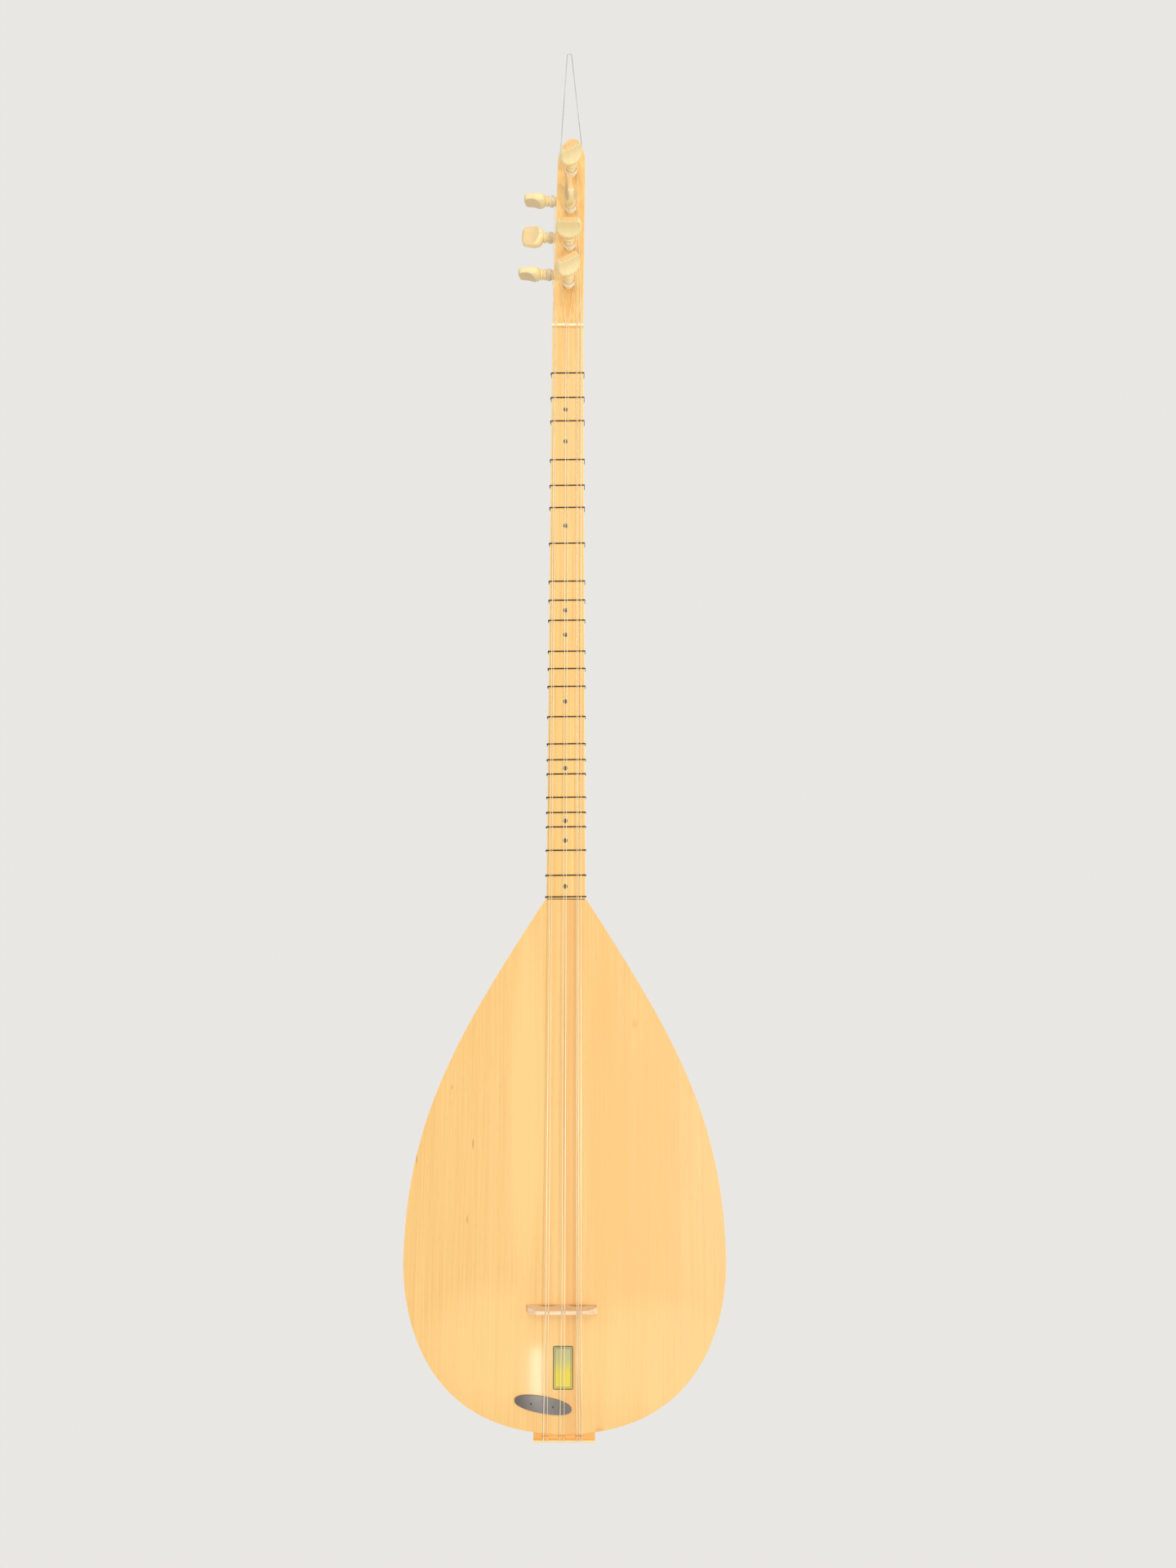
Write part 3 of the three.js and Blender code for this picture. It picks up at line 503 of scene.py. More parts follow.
def soundboard_finish():
    finish = Finish("soundboard spruce", 0.4, coat=0.5, coat_roughness=0.06)
    point = finish.place()
    x_axis, _, z_axis = finish.split(point)

    def spot(x, z, half_width, half_length, share, tone):
        across = (x_axis - x) / half_width
        along = (z_axis - (NUT_Z + z)) / half_length
        inside = 1.0 - finish.between(across * across + along * along, 0.1, 1.0)
        return inside * share, tone

    wander = finish.noise(point, (6, 6, 2.2), detail=1)
    bent = finish.value(0, "ShaderNodeCombineXYZ", X=x_axis + (wander - 0.5) * 0.006, Y=0.0,
                        Z=z_axis)
    fine, broad = grain(finish, bent, 760, 7)
    lines = finish.noise(bent, (260, 260, 1.2), roughness=0.7)
    base = finish.ramp(fine * 0.5 + (lines * 0.22 + broad * 0.28),
                       (0.3, "EBB364"), (0.48, "F2C172"), (0.66, "F7CC81"))
    dashes = finish.noise(bent, (1900, 1900, 90), detail=1)
    stripe = finish.band(x_axis, STRIPE_LEFT, STRIPE_RIGHT, 0.0012)
    tight = finish.band(x_axis, TIGHT_GRAIN_LEFT, TIGHT_GRAIN_RIGHT, 0.008)
    base = finish.blend(
        base, (finish.between(dashes, 0.62, 0.72) * 0.35, "D9A05A"),
        *[spot(*patch) for patch in PATCHES], (stripe * (lines * 0.75), "E6A356"),
        (tight * finish.between(fine, 0.5, 0.62) * 0.25, "DB9F5C"),
        # The last layer is a painted highlight on the rounded edge of the board.
        *[spot(*mark) for mark in MARKS], (finish.mark("edge") * 0.8, "FFE9BA"))
    return finish.done(base, fine, 0.36, 0.48, lines, 0.05, 0.0002)


def bowl_finish():
    """Staves told apart by tone, with a dark line at each seam."""
    finish = Finish("bowl staves", 0.34, coat=0.6, coat_roughness=0.12)
    staves, seams = (finish.split(finish.value(0, "ShaderNodeUVMap", {"uv_map": name}))
                     for name in ("staves", "seams"))
    number = finish.math("FLOOR", staves[0])
    share = finish.math("FRACT", staves[0])
    random = finish.value("Value", "ShaderNodeTexWhiteNoise", {"noise_dimensions": "1D"}, W=number)
    point = finish.value(0, "ShaderNodeCombineXYZ", X=staves[0] * 0.026, Y=number * 0.37,
                         Z=staves[1])
    fine, broad = grain(finish, point, 700, 12)
    tone = fine * 0.4 + broad * 0.6
    base = finish.ramp(tone, (0.32, "8E5628"), (0.5, "A96C36"), (0.68, "C08547"))
    seam_gap = finish.math("MINIMUM", share, 1.0 - share) * seams[0]
    base = finish.blend(base, (random * 0.5, "7C4A22"),
                        (1.0 - finish.between(seam_gap, 0.0002, 0.0005), "3A2112"))
    return finish.done(base, fine, 0.28, 0.4, tone, 0.1, 0.0003)


def peg_finish():
    finish = Finish("peg boxwood", 0.45, coat=0.15, coat_roughness=0.3)
    point = finish.value("Vector", "ShaderNodeAttribute", {"attribute_name": "along_peg"})
    fine, broad = grain(finish, point, 1100, 60)
    rings = finish.value("Fac", "ShaderNodeTexWave", {"wave_type": "BANDS", "bands_direction": "X"},
                         Vector=point, Scale=160.0, Distortion=6.0, Detail=2.0, Detail_Scale=60.0)
    base = finish.ramp(fine * 0.5 + (broad * 0.35 + rings * 0.15),
                       (0.3, "FDE0A2"), (0.48, "FFEAAE"), (0.66, "FFF3C2"))
    speckle = finish.noise(point, (1500, 1500, 1500))
    bare = finish.ramp(speckle, (0.35, "E8B06C"), (0.6, "FAD28E"))
    end = finish.mark("end")
    # Painted shade in the scoops of the knob.
    base = finish.blend(base, (finish.mark("scoop"), "DBA764"),
                        # Painted shade in the grooves of the shaft.
                        (finish.mark("groove") * 0.35, "B07A48"),
                        (finish.between(end, 0.2, 0.9), bare),
                        (finish.band(end, 0.15, 0.5, 0.1) * 0.6, "B5793F"))
    return finish.done(base, fine, 0.4, 0.52, fine, 0.15, 0.0001)


def label_finish():
    """Pale foil, yellower at its foot, with a dark line round its edge."""
    finish = Finish("bare label foil", 0.35, coat=0.4, coat_roughness=0.15)
    point = finish.place()
    x_axis, _, z_axis = finish.split(point)
    along = z_axis - (NUT_Z + LABEL_CENTRE[1])
    side_gap = LABEL_WIDTH / 2 - finish.math("ABSOLUTE", x_axis - LABEL_CENTRE[0])
    end_gap = LABEL_LENGTH / 2 - finish.math("ABSOLUTE", along)
    edge = finish.math("SMOOTH_MIN", side_gap, end_gap, 0.0006)
    cloud = finish.noise(point, (260, 260, 90), detail=3)
    base = finish.ramp(along / LABEL_LENGTH + cloud * 0.3,
                       (0.0, "E4CF36"), (0.12, "D8C94F"), (0.35, "C2BA72"), (0.7, "B6B27C"))
    base = finish.blend(base, (finish.band(edge, 0.0016, 0.0022, 0.0002), "8A8650"),
                        (1.0 - finish.between(edge, 0.0007, 0.0010), "46452F"))
    return finish.done(base, cloud, 0.28, 0.42, cloud, 0.05, 0.0001)


def plate_finish():
    """Dark gloss, palest in the middle of the oval and darkest at its left end."""
    finish = Finish("dark plate", 0.3, coat=0.5, coat_roughness=0.08)
    point = finish.place()
    cloud = finish.noise(point, (300, 300, 300), detail=3)
    along = (finish.split(point)[0] - OVAL_LEFT_END) / OVAL_LENGTH
    base = finish.ramp(along + cloud * 0.2, (0.1, "4F4640"), (0.35, "675D56"), (0.62, "7E7771"),
                       (1.0, "706963"))
    return finish.done(base, cloud, 0.26, 0.36, cloud, 0.08, 0.0001)


def metal(name, dark, light, roughness, metallic=1.0):
    finish = Finish(name, roughness, metallic=metallic)
    fine, broad = grain(finish, finish.place(), 2500, 40)
    base = finish.ramp(broad, (0.35, dark), (0.65, light))
    return finish.done(base, fine, roughness - 0.08, roughness + 0.1, fine, 0.1, 0.00005)


def polished(name, dark, light, roughness, size=900, coat=0.3):
    finish = Finish(name, roughness, coat=coat, coat_roughness=0.08)
    cloud = finish.noise(finish.place(), (size, size, size / 3), detail=3)
    base = finish.ramp(cloud, (0.35, dark), (0.65, light))
    return finish.done(base, cloud, roughness - 0.05, roughness + 0.07, cloud, 0.08, 0.0001)


SPRUCE = soundboard_finish()
STAVES = bowl_finish()
# The edge colours of the neck and the head are painted highlights on the rounded edges of the face.
NECK_WOOD = plain_wood("neck wood", "FAD286", "F4C473", "EAAC5C", across=620, along=6,
                       edge="FFEBBE")
HEAD_WOOD = plain_wood("head wood", "FFD792", "FBCC7D", "F0B465", across=560, along=9,
                       edge="FFE5B4")
BLOCK_WOOD = plain_wood("block wood", "EBD0A2", "DDBA86", "C79E68", across=500, coat=0.0)
PEG_WOOD = peg_finish()
BRIDGE_WOOD = plain_wood("bridge maple", "FBE2BC", "F3CFA4", "DFB184", across=1100, along=60,
                         roughness=0.5, coat=0.05, axis="X")
# The lip colour is a painted highlight on the tail piece's lip.
TAIL_WOOD = plain_wood("tail piece wood", "FCC264", "F6B24C", "E89C3E", across=700, along=40,
                       roughness=0.36, coat=0.4, axis="X",
                       lip=(NUT_Z + TAIL - TAIL_PIECE_DROP + 0.0022, "FFE2A6"))
BONE = polished("nut bone", "FADDA4", "FFEBC0", 0.4)
DARK_GLOSS = plate_finish()
NYLON = polished("fret line", "2E1809", "4A2A10", 0.5, size=1600, coat=0.03)
# Strings: pale, partly diffuse steel, whose colour also stands for the bright light that the
# strings reflect, a painted reflection.
STEEL = metal("string steel", "F8E8C0", "FFF8DC", 0.34, metallic=0.6)
WOUND_STEEL = metal("wound string steel", "FFEACB", "FFF8E6", 0.42, metallic=0.1)
WIRE_STEEL = metal("wire steel", "A9AAAB", "CFD0D1", 0.38)
DOT_SHELL = polished("position dot", "39332D", "5C544B", 0.3, size=1500)
PIN_METAL = metal("oval pin", "3D3B39", "5F5C59", 0.4)
LABEL_FOIL = label_finish()


# Hanging wire.

WIRE_DIAMETER = 0.0008
WIRE_ROUTE = [
    (0.002542, 0.006907, -0.131795), (-0.007991, 0.006919, -0.132017),
    (-0.008708, 0.006913, -0.131913), (-0.009353, 0.006896, -0.131583),
    (-0.009854, 0.006869, -0.131061), (-0.010159, 0.006834, -0.130404),
    (-0.010234, 0.006796, -0.129684), (-0.002255, 0.000092, -0.001754),
    (-0.002113, 0.000057, -0.001089), (-0.001781, 0.000026, -0.000494),
    (-0.001289, 0.000001, -0.000022), (-0.00068, -0.000015, 0.000284),
    (-0.000008, -0.000021, 0.000399), (0.000668, -0.000016, 0.000313),
    (0.001289, -0.000002, 0.000032), (0.0018, 0.000022, -0.000418),
    (0.002157, 0.000052, -0.000998), (0.002328, 0.000087, -0.001657),
    (0.015718, 0.006768, -0.129136), (0.015674, 0.006806, -0.129858),
    (0.015397, 0.006841, -0.130527), (0.014918, 0.006869, -0.13107),
    (0.014288, 0.006888, -0.131428), (0.013576, 0.006895, -0.131562),
    (0.003042, 0.006907, -0.131784),
]
wire = curve_object("wire_loop", [WIRE_ROUTE], WIRE_DIAMETER, sides=4)
keep(wire, "root", "wire_steel", WIRE_STEEL, "hanging_wire")


# Soundboard.

def bezier(points, share):
    a, b, c, d = points
    left = 1 - share
    return (a * left ** 3 + b * 3 * share * left ** 2 + c * 3 * share ** 2 * left
            + d * share ** 3)


def body_outline(upper_steps, lower_steps):
    """Half width and height above the nut, from the joint down to the tail."""
    half = BODY_WIDTH / 2
    widest_z = -NECK_LENGTH - WIDEST_BELOW_JOINT
    lower = BODY_LENGTH - WIDEST_BELOW_JOINT
    joint = Vector((NECK_END_WIDTH / 2, -NECK_LENGTH))
    widest = Vector((half, widest_z))
    pull = WIDEST_BELOW_JOINT * SHOULDER_PULL
    shoulder = joint + Vector((sin(SHOULDER_ANGLE), -cos(SHOULDER_ANGLE))) * pull
    waist = Vector((half, widest_z + WIDEST_BELOW_JOINT * WAIST_PULL))
    hip = Vector((half, widest_z - lower * HIP_PULL))
    base = Vector((half * TAIL_PULL, TAIL))
    tail = Vector((0, TAIL))
    above = [bezier((joint, shoulder, waist, widest), step / upper_steps)
             for step in range(upper_steps + 1)]
    below = [bezier((widest, hip, base, tail), step / lower_steps)
             for step in range(1, lower_steps + 1)]
    return above + below


STATIONS = body_outline(60, 80)


def inset_outline(outline, inset):
    """The closed outline, moved inwards everywhere by the inset."""
    moved = []
    for at, point in enumerate(outline):
        before, after = outline[at - 1], outline[(at + 1) % len(outline)]
        tangent = (after - before).normalized()
        moved.append(point + Vector((tangent.y, -tangent.x)) * inset)
    return moved


def make_soundboard():
    outline = STATIONS + [Vector((-point.x, point.y)) for point in reversed(STATIONS[:-1])]
    radius = BOARD_EDGE_RADIUS
    levels = [(radius, 0), (radius * 0.3, radius * 0.3), (0, radius), (0, BOARD_THICKNESS)]
    rings = [[place(point.x, depth, point.y) for point in inset_outline(outline, -inset)]
             for inset, depth in levels]
    # 1 on the rounded edge, where the finish paints a highlight.
    edge = [share for share in (0.0, 1.0, 1.0, 1.0) for _ in outline]
    board = mesh_object("soundboard_plate", *loft(rings), sharp=50, edge=edge)
    keep(board, "root", "soundboard_wood", SPRUCE, "soundboard")


# Bowl.

def bowl_depth(station):
    below = -NECK_LENGTH - station.y
    if below <= WIDEST_BELOW_JOINT:
        joint_ratio = NECK_END_DEPTH / (NECK_END_WIDTH / 2)
        bowl_ratio = BOWL_DEPTH / (BODY_WIDTH / 2)
        share = 1 - below / WIDEST_BELOW_JOINT
        return station.x * mix(bowl_ratio, joint_ratio, share ** 3)
    share = (below - WIDEST_BELOW_JOINT) / (BODY_LENGTH - WIDEST_BELOW_JOINT)
    return mix(BOARD_THICKNESS, BOWL_DEPTH, sqrt(max(0, 1 - share ** 2)))


STAVE_STEPS = 6


def bowl_ring(station, inset, rim_lift=0.0):
    """A half oval from rim to rim, whose widest place lies a little behind the rim."""
    depth = bowl_depth(station)
    centre = mix(BOARD_THICKNESS, depth, RIM_BULGE)
    radius_x = max(station.x * BOWL_HIGH.x / BOARD_HIGH.x - inset, 0)
    radius_y = max(depth - centre - inset, 0)
    start = asin(min(1, (centre - BOARD_THICKNESS) / radius_y)) if radius_y > 0 else 0
    ring = []
    for step in range(STAVE_COUNT * STAVE_STEPS + 1):
        angle = mix(-start, pi + start, step / (STAVE_COUNT * STAVE_STEPS))
        ring.append(place(radius_x * cos(angle), centre + radius_y * sin(angle), station.y))
    if rim_lift:
        lifted = FACE_Y + BOARD_THICKNESS - rim_lift
        ring.insert(0, Vector((ring[0].x, lifted, ring[0].z)))
        ring.append(Vector((ring[-1].x, lifted, ring[-1].z)))
    return ring


def make_bowl():
    rings = [bowl_ring(station, 0) for station in STATIONS]
    steps = range(len(rings[0]))
    middle = len(steps) // 2
    run = [0.0]
    for before, after in zip(rings, rings[1:]):
        run.append(run[-1] + (after[middle] - before[middle]).length)
    widths = [sum((b - a).length for a, b in zip(ring, ring[1:])) / STAVE_COUNT
              for ring in rings]
    shell = mesh_object("bowl_shell", *loft(rings), pairs={
        "staves": [(step / STAVE_STEPS, length) for length in run for step in steps],
        "seams": [(width, 0) for width in widths for _ in steps],
    })

    room_top = -NECK_LENGTH - BOWL_END_WALL
    inner = [station for station in STATIONS
             if station.y <= room_top and station.x > 2 * BOWL_WALL
             and bowl_depth(station) * (1 - RIM_BULGE) > BOARD_THICKNESS + 3 * BOWL_WALL]
    room = mesh_object("bowl_room", *loft([bowl_ring(station, BOWL_WALL, 0.002)
                                           for station in inner]))
    hole = taper(place(0, SOUND_HOLE_DEPTH, TAIL - 0.01), place(0, SOUND_HOLE_DEPTH, TAIL + 0.05),
                 SOUND_HOLE_DIAMETER, SOUND_HOLE_DIAMETER, 48)
    cut(shell, room, hole)
    keep(shell, "root", "bowl_wood", STAVES, "bowl")


# Neck and head: a D section, flat on the face, with straight sides and a half-oval back.

def back_arc(half_width, depth, steps):
    """The half oval of the back, from right to left, as (x, depth behind the face)."""
    return [(half_width * c, NECK_SIDE_HEIGHT + (depth - NECK_SIDE_HEIGHT) * s)
            for c, s in circle(2 * steps)[:steps + 1]]


def d_section(half_width, depth, back_steps=32, edge=NECK_EDGE_RADIUS):
    """Points as (x, depth behind the face), with the edges of the face rounded."""
    points = []
    for side in (-1, 1):
        arc = []
        for step in range(4):
            angle = radians(90) * step / 3
            arc.append((side * (half_width - edge * (1 - cos(angle))), edge * (1 - sin(angle))))
        points += arc if side < 0 else reversed(arc)
    return points + back_arc(half_width, depth, back_steps)


def edge_highlight_marks(rings):
    """1 on the rounded edges of the face, where the finishes paint a highlight, for every point of
    rings of that section.
    """
    arcs = [1.0, 1.0, 1.0, 0.0, 0.0, 1.0, 1.0, 1.0]
    return (arcs + [0.0] * (len(rings[0]) - len(arcs))) * len(rings)


def neck_size(below):
    """Half width and depth."""
    share = below / NECK_LENGTH
    return (mix(NECK_TOP_WIDTH, NECK_END_WIDTH, share) / 2,
            mix(NECK_TOP_DEPTH, NECK_END_DEPTH, share))


def make_neck():
    rings = [[place(x, depth, -below) for x, depth in d_section(*neck_size(below))]
             for below in (0, NECK_LENGTH)]
    points, faces = loft(rings)
    start = len(points)
    for x in (-TENON_WIDTH / 2, TENON_WIDTH / 2):
        for depth in (TENON_BELOW_FACE, TENON_BELOW_FACE + TENON_DEPTH):
            for height in (-NECK_LENGTH - TENON_LENGTH, -NECK_LENGTH):
                points.append(place(x, depth, height))
    box_faces = [(0, 1, 3, 2), (4, 6, 7, 5), (0, 4, 5, 1), (2, 3, 7, 6), (0, 2, 6, 4),
                 (1, 5, 7, 3)]
    faces += [tuple(start + corner for corner in face) for face in box_faces]
    edge = edge_highlight_marks(rings)
    neck = mesh_object("neck_shaft", points, faces, edge=edge + [0.0] * (len(points) - len(edge)))
    keep(neck, "root", "neck_wood", NECK_WOOD, "neck")


def head_point(x, out, up):
    """A point of the head, which leans back and tilts a little to the right."""
    across = x * cos(HEAD_TILT) + up * sin(HEAD_TILT)
    rise = up * cos(HEAD_TILT) - x * sin(HEAD_TILT)
    return place(across, rise * sin(HEAD_LEAN) - out * cos(HEAD_LEAN),
                 rise * cos(HEAD_LEAN) + out * sin(HEAD_LEAN))


def head_size(up):
    """Half width and depth."""
    share = up / HEAD_LENGTH
    return (mix(NECK_TOP_WIDTH, HEAD_TIP_WIDTH, share) / 2,
            mix(HEAD_BASE_DEPTH, HEAD_TIP_DEPTH, share))


def head_ring(up, share=1.0):
    half_width, depth = head_size(up)
    return [head_point(x, -back, up)
            for x, back in d_section(half_width * share, depth * sqrt(share), HEAD_BACK_STEPS)]


def seat(name):
    """A peg's place: its frame runs up the head along X and out along the peg along Z."""
    joint = next(j for j in frame["joints"] if j["name"] == f"turn_peg_{name}")
    axis = Vector(joint["axis"]).normalized()
    foot = head_point(0, 0, 0)
    up = head_point(0, 0, 1) - foot
    across = axis.cross(up).normalized()
    matrix = Matrix((across.cross(axis), across, axis)).transposed().to_4x4()
    matrix.translation = Vector(joint["pos_m"])
    half_width, depth = head_size((matrix.translation - foot).dot(up))
    if name.startswith("front"):
        return matrix, depth + FRONT_PEG_PROUD
    return matrix, 2 * half_width - SIDE_PEG_SHORT


def make_head():
    foot = []
    for x, depth in d_section(*head_size(0), HEAD_BACK_STEPS):
        up = depth * tan(HEAD_LEAN) + x * sin(HEAD_TILT)
        foot.append(head_point(x, -depth, up / cos(HEAD_TILT)))
    arch_start = HEAD_LENGTH - HEAD_ARCH_LENGTH
    rings = [foot, head_ring(arch_start)]
    arch_steps = 24
    for step in range(1, arch_steps + 1):
        rise = sin(radians(90) * step / arch_steps)
        share = (1 - rise ** HEAD_ARCH_POWER) ** (1 / HEAD_ARCH_POWER)
        rings.append(head_ring(arch_start + HEAD_ARCH_LENGTH * rise, max(share, HEAD_TIP_SHARE)))
    head = mesh_object("head_block", *loft(rings), edge=edge_highlight_marks(rings))
    bores = []
    for name in PEG_TURNS:
        matrix, tip = seat(name)
        bores.append(taper(matrix @ Vector((0, 0, 0.002)), matrix @ Vector((0, 0, -tip - 0.004)),
                           PEG_SHAFT_DIAMETER + 2 * SEAT_GAP, PEG_TIP_DIAMETER + 2 * SEAT_GAP))
    ends = [head_point(x, -WIRE_HOLE_DEPTH, HEAD_LENGTH - WIRE_HOLE_FROM_TIP)
            for x in (-NECK_TOP_WIDTH, NECK_TOP_WIDTH)]
    cut(head, *bores, taper(*ends, WIRE_HOLE_DIAMETER, WIRE_HOLE_DIAMETER))
    keep(head, "root", "head_wood", HEAD_WOOD, "headstock")


# Pegs: a turned shaft with rings and a bead, and a knob scooped on both sides.

PEG_SIDES = 64
GROOVE_DEPTH = 0.00028
GROOVE_WIDTH = 0.0005
GROOVE_SPACE = 0.0027
EXTRA_BEADS = {"side_3": [0.0090]}
# The share of painted shade in the scoops of some pegs.
SCOOP_SHADES = {"front_2": 0.75, "side_1": 0.3, "side_2": 0.4, "side_3": 0.4}
KNOB_POWER = 2.6
KNOB_STEPS = 44
KNOB_DOME = 0.0016
KNOB_EASE = 0.0003
SCOOP_WAIST = 0.00245
SCOOP_SHARE = 0.62
SCOOP_RADIUS_BELOW = 0.0120
SCOOP_RADIUS_ABOVE = 0.040
# Along the knob, as shares of its length, half width and half thickness.
KNOB_OUTLINE = [
    (0.0, 0.42, 0.80), (0.05, 0.66, 0.93), (0.11, 0.82, 0.99), (0.2, 0.93, 1.0),
    (0.32, 0.99, 1.0), (0.45, 1.0, 1.0), (0.6, 0.985, 1.0), (0.75, 0.935, 1.0),
    (0.85, 0.86, 0.99), (0.93, 0.77, 0.98), (1.0, 0.68, 0.97),
]


def through(table, at, column):
    """A smooth curve through the rows of a table, by its first column."""
    last = len(table) - 1
    row = next((n for n in range(last) if at <= table[n + 1][0]), last - 1)

    def slope(n):
        low, high = table[max(n - 1, 0)], table[min(n + 1, last)]
        return (high[column] - low[column]) / (high[0] - low[0])

    low, high = table[row], table[row + 1]
    span = high[0] - low[0]
    share = (at - low[0]) / span
    square, cube = share ** 2, share ** 3
    return (low[column] * (2 * cube - 3 * square + 1)
            + slope(row) * span * (cube - 2 * square + share)
            + high[column] * (3 * square - 2 * cube)
            + slope(row + 1) * span * (cube - square))


def peg_ring(height, half_width, half_thickness, power=2.0, limit=1.0):
    ring = []
    for c, s in circle(PEG_SIDES):
        x = half_width * copysign(abs(c) ** (2 / power), c)
        y = half_thickness * copysign(abs(s) ** (2 / power), s)
        ring.append(Vector((x, max(-limit, min(limit, y)), height)))
    return ring


def shaft_profile(name, tip):
    """Heights and radii of the turned part, with 1 where a groove lies and the finish paints shade.
    """
    neck = PEG_NECKS[name]
    shaft, bead = PEG_SHAFT_DIAMETER / 2, PEG_BEAD_DIAMETER / 2
    half = PEG_BEAD_LENGTH / 2
    ease = PEG_BEAD_SPACE / 2
    beads = [*EXTRA_BEADS.get(name, []), neck - PEG_BEAD_SPACE - half]
    profile = [(-tip, PEG_TIP_DIAMETER / 2 - ease, 0),
               (ease - tip, PEG_TIP_DIAMETER / 2, 0), (0, shaft, 0)]
    height = WINDING_ABOVE_HEAD + WINDING_TURNS * WINDING_PITCH + GROOVE_WIDTH
    while height < beads[0] - half - GROOVE_SPACE / 2:
        groove = height + GROOVE_WIDTH
        profile += [(groove - GROOVE_WIDTH / 2, shaft, 0), (groove, shaft - GROOVE_DEPTH, 1),
                    (groove + GROOVE_WIDTH / 2, shaft, 0)]
        height += GROOVE_SPACE
    for centre in beads:
        profile += [(centre - half - GROOVE_WIDTH, shaft, 0),
                    (centre - half, shaft - GROOVE_DEPTH, 1)]
        for step in range(1, 8):
            rise = sin(pi * step / 8) ** 0.7
            profile.append((centre + half * (step / 4 - 1), mix(shaft, bead, rise), 0))
        profile.append((centre + half, shaft - GROOVE_DEPTH, 1))
    return profile


def knob_rings(neck):
    """The rings of the knob: its sides first, and then its domed end."""
    rings = []
    edge = 1 - KNOB_DOME / KNOB_LENGTH
    for step in range(KNOB_STEPS + 1):
        along = edge * step / KNOB_STEPS
        off = (along - SCOOP_SHARE) * KNOB_LENGTH
        scoop = SCOOP_WAIST + off * off / (2 * (SCOOP_RADIUS_ABOVE if off > 0
                                                else SCOOP_RADIUS_BELOW))
        half_width = through(KNOB_OUTLINE, along, 1) * KNOB_WIDTH / 2
        half_thickness = through(KNOB_OUTLINE, along, 2) * KNOB_THICKNESS / 2
        power = mix(2.0, KNOB_POWER, min(1, along * 3))
        ease = KNOB_EASE if step == KNOB_STEPS else 0
        rings.append(peg_ring(neck + along * KNOB_LENGTH, half_width - ease,
                              half_thickness - ease, power, scoop - ease))
    low = neck + edge * KNOB_LENGTH
    for share in (0.97, 0.86, 0.7, 0.5, 0.25, 0.06):
        height = low + KNOB_DOME * (1 - share ** 2)
        rings.append([Vector((point.x * share, point.y * share, height))
                      for point in rings[KNOB_STEPS]])
    return rings


def make_peg(name):
    matrix, tip = seat(name)
    profile = shaft_profile(name, tip)
    rings = [peg_ring(height, radius, radius) for height, radius, _ in profile]
    knob = knob_rings(PEG_NECKS[name])
    points, faces = loft(rings + knob)
    groove = [float(dark) for _, _, dark in profile for _ in range(PEG_SIDES)]
    groove += [0.0] * (len(points) - len(groove))
    # The scoop mark: painted shade on the scooped faces, by each peg's share.
    scoop = [0.0] * (len(rings) * PEG_SIDES)
    for ring in knob[:KNOB_STEPS + 1]:
        flat = max(point.y for point in ring) - 1e-6
        scoop += [SCOOP_SHADES.get(name, 0.0) if abs(point.y) > flat else 0.0 for point in ring]
    end = [0.0] * len(scoop)
    end += [1.0] * (len(points) - len(end))
    scoop += [0.0] * (len(points) - len(scoop))
    peg = mesh_object(f"{name}_peg", points, faces, 28, groove=groove, end=end, scoop=scoop)
    along = peg.data.attributes.new("along_peg", "FLOAT_VECTOR", "POINT")
    along.data.foreach_set("vector", [part for spot in peg.data.vertices for part in spot.co])
    peg.data.transform(matrix @ Matrix.Rotation(radians(PEG_TURNS[name]), 4, "Z"))
    keep(peg, f"peg_{name}", "peg_wood", PEG_WOOD, f"peg_{name}")


# Strings and the turns that they take round the pegs.

# The peg of each string, counted from the left at the nut.
STRING_PEGS = list(reversed(PEG_TURNS))
WINDING_SIDES = 9
# Where a side peg's string bends: its gap to the edge, and the share of the way up to its peg.
BEND_GAP = 0.00055
BEND_SHARE = 0.62


def winding_radius(diameter):
    clear = PEG_SHAFT_DIAMETER / 2 + SEAT_GAP + diameter / 2
    return clear / cos(pi / WINDING_SIDES)


def make_winding(name):
    matrix = seat(name)[0]
    diameter = STRING_DIAMETERS[STRING_PEGS.index(name)]
    radius = winding_radius(diameter)
    steps = 40
    points = []
    for step in range(WINDING_TURNS * steps + 1):
        angle = tau * step / steps - radians(90)
        height = WINDING_ABOVE_HEAD + WINDING_PITCH * step / steps
        points.append(matrix @ Vector((radius * cos(angle), radius * sin(angle), height)))
    winding = curve_object(f"{name}_winding", [points], diameter)
    keep(winding, f"peg_{name}", "string_steel", WOUND_STEEL, f"winding_{name}")


def string_start(number):
    """From the winding to the nut: a side peg's string bends over the edge of the head."""
    name = STRING_PEGS[number]
    matrix = seat(name)[0]
    diameter = STRING_DIAMETERS[number]
    height = WINDING_ABOVE_HEAD - diameter - SEAT_GAP
    arrival = matrix @ Vector((0, -winding_radius(diameter), height))
    if name.startswith("front"):
        return [arrival]
    up = (arrival.z - NUT_Z) / cos(HEAD_LEAN) * BEND_SHARE
    return [arrival, head_point(-head_size(up)[0] - BEND_GAP, BEND_GAP, up)]


def string_tail(number, x):
    clear = SEAT_GAP + STRING_DIAMETERS[number] / 2
    foot = TAIL - TAIL_PIECE_DROP + TAIL_GROOVE_DEPTH
    lip = -TAIL_PIECE_LIP_RISE - clear
    back = TAIL_PIECE_FACE_SINK + TAIL_PIECE_THICKNESS + clear
    hole = TAIL - STRING_HOLE_BELOW_EDGE
    route = [
        (lip, foot + TAIL_PIECE_LIP_SLOPE), (lip, foot), (-TAIL_PIECE_LIP_RISE, foot - clear),
        (back - clear, foot - clear), (back, foot), (back, hole - STRING_HOLE_DIAMETER / 2),
        (back - clear, hole), (TAIL_PIECE_FACE_SINK + STRING_HOLE_DIAMETER, hole),
    ]
    return [place(x, depth, height) for depth, height in route]


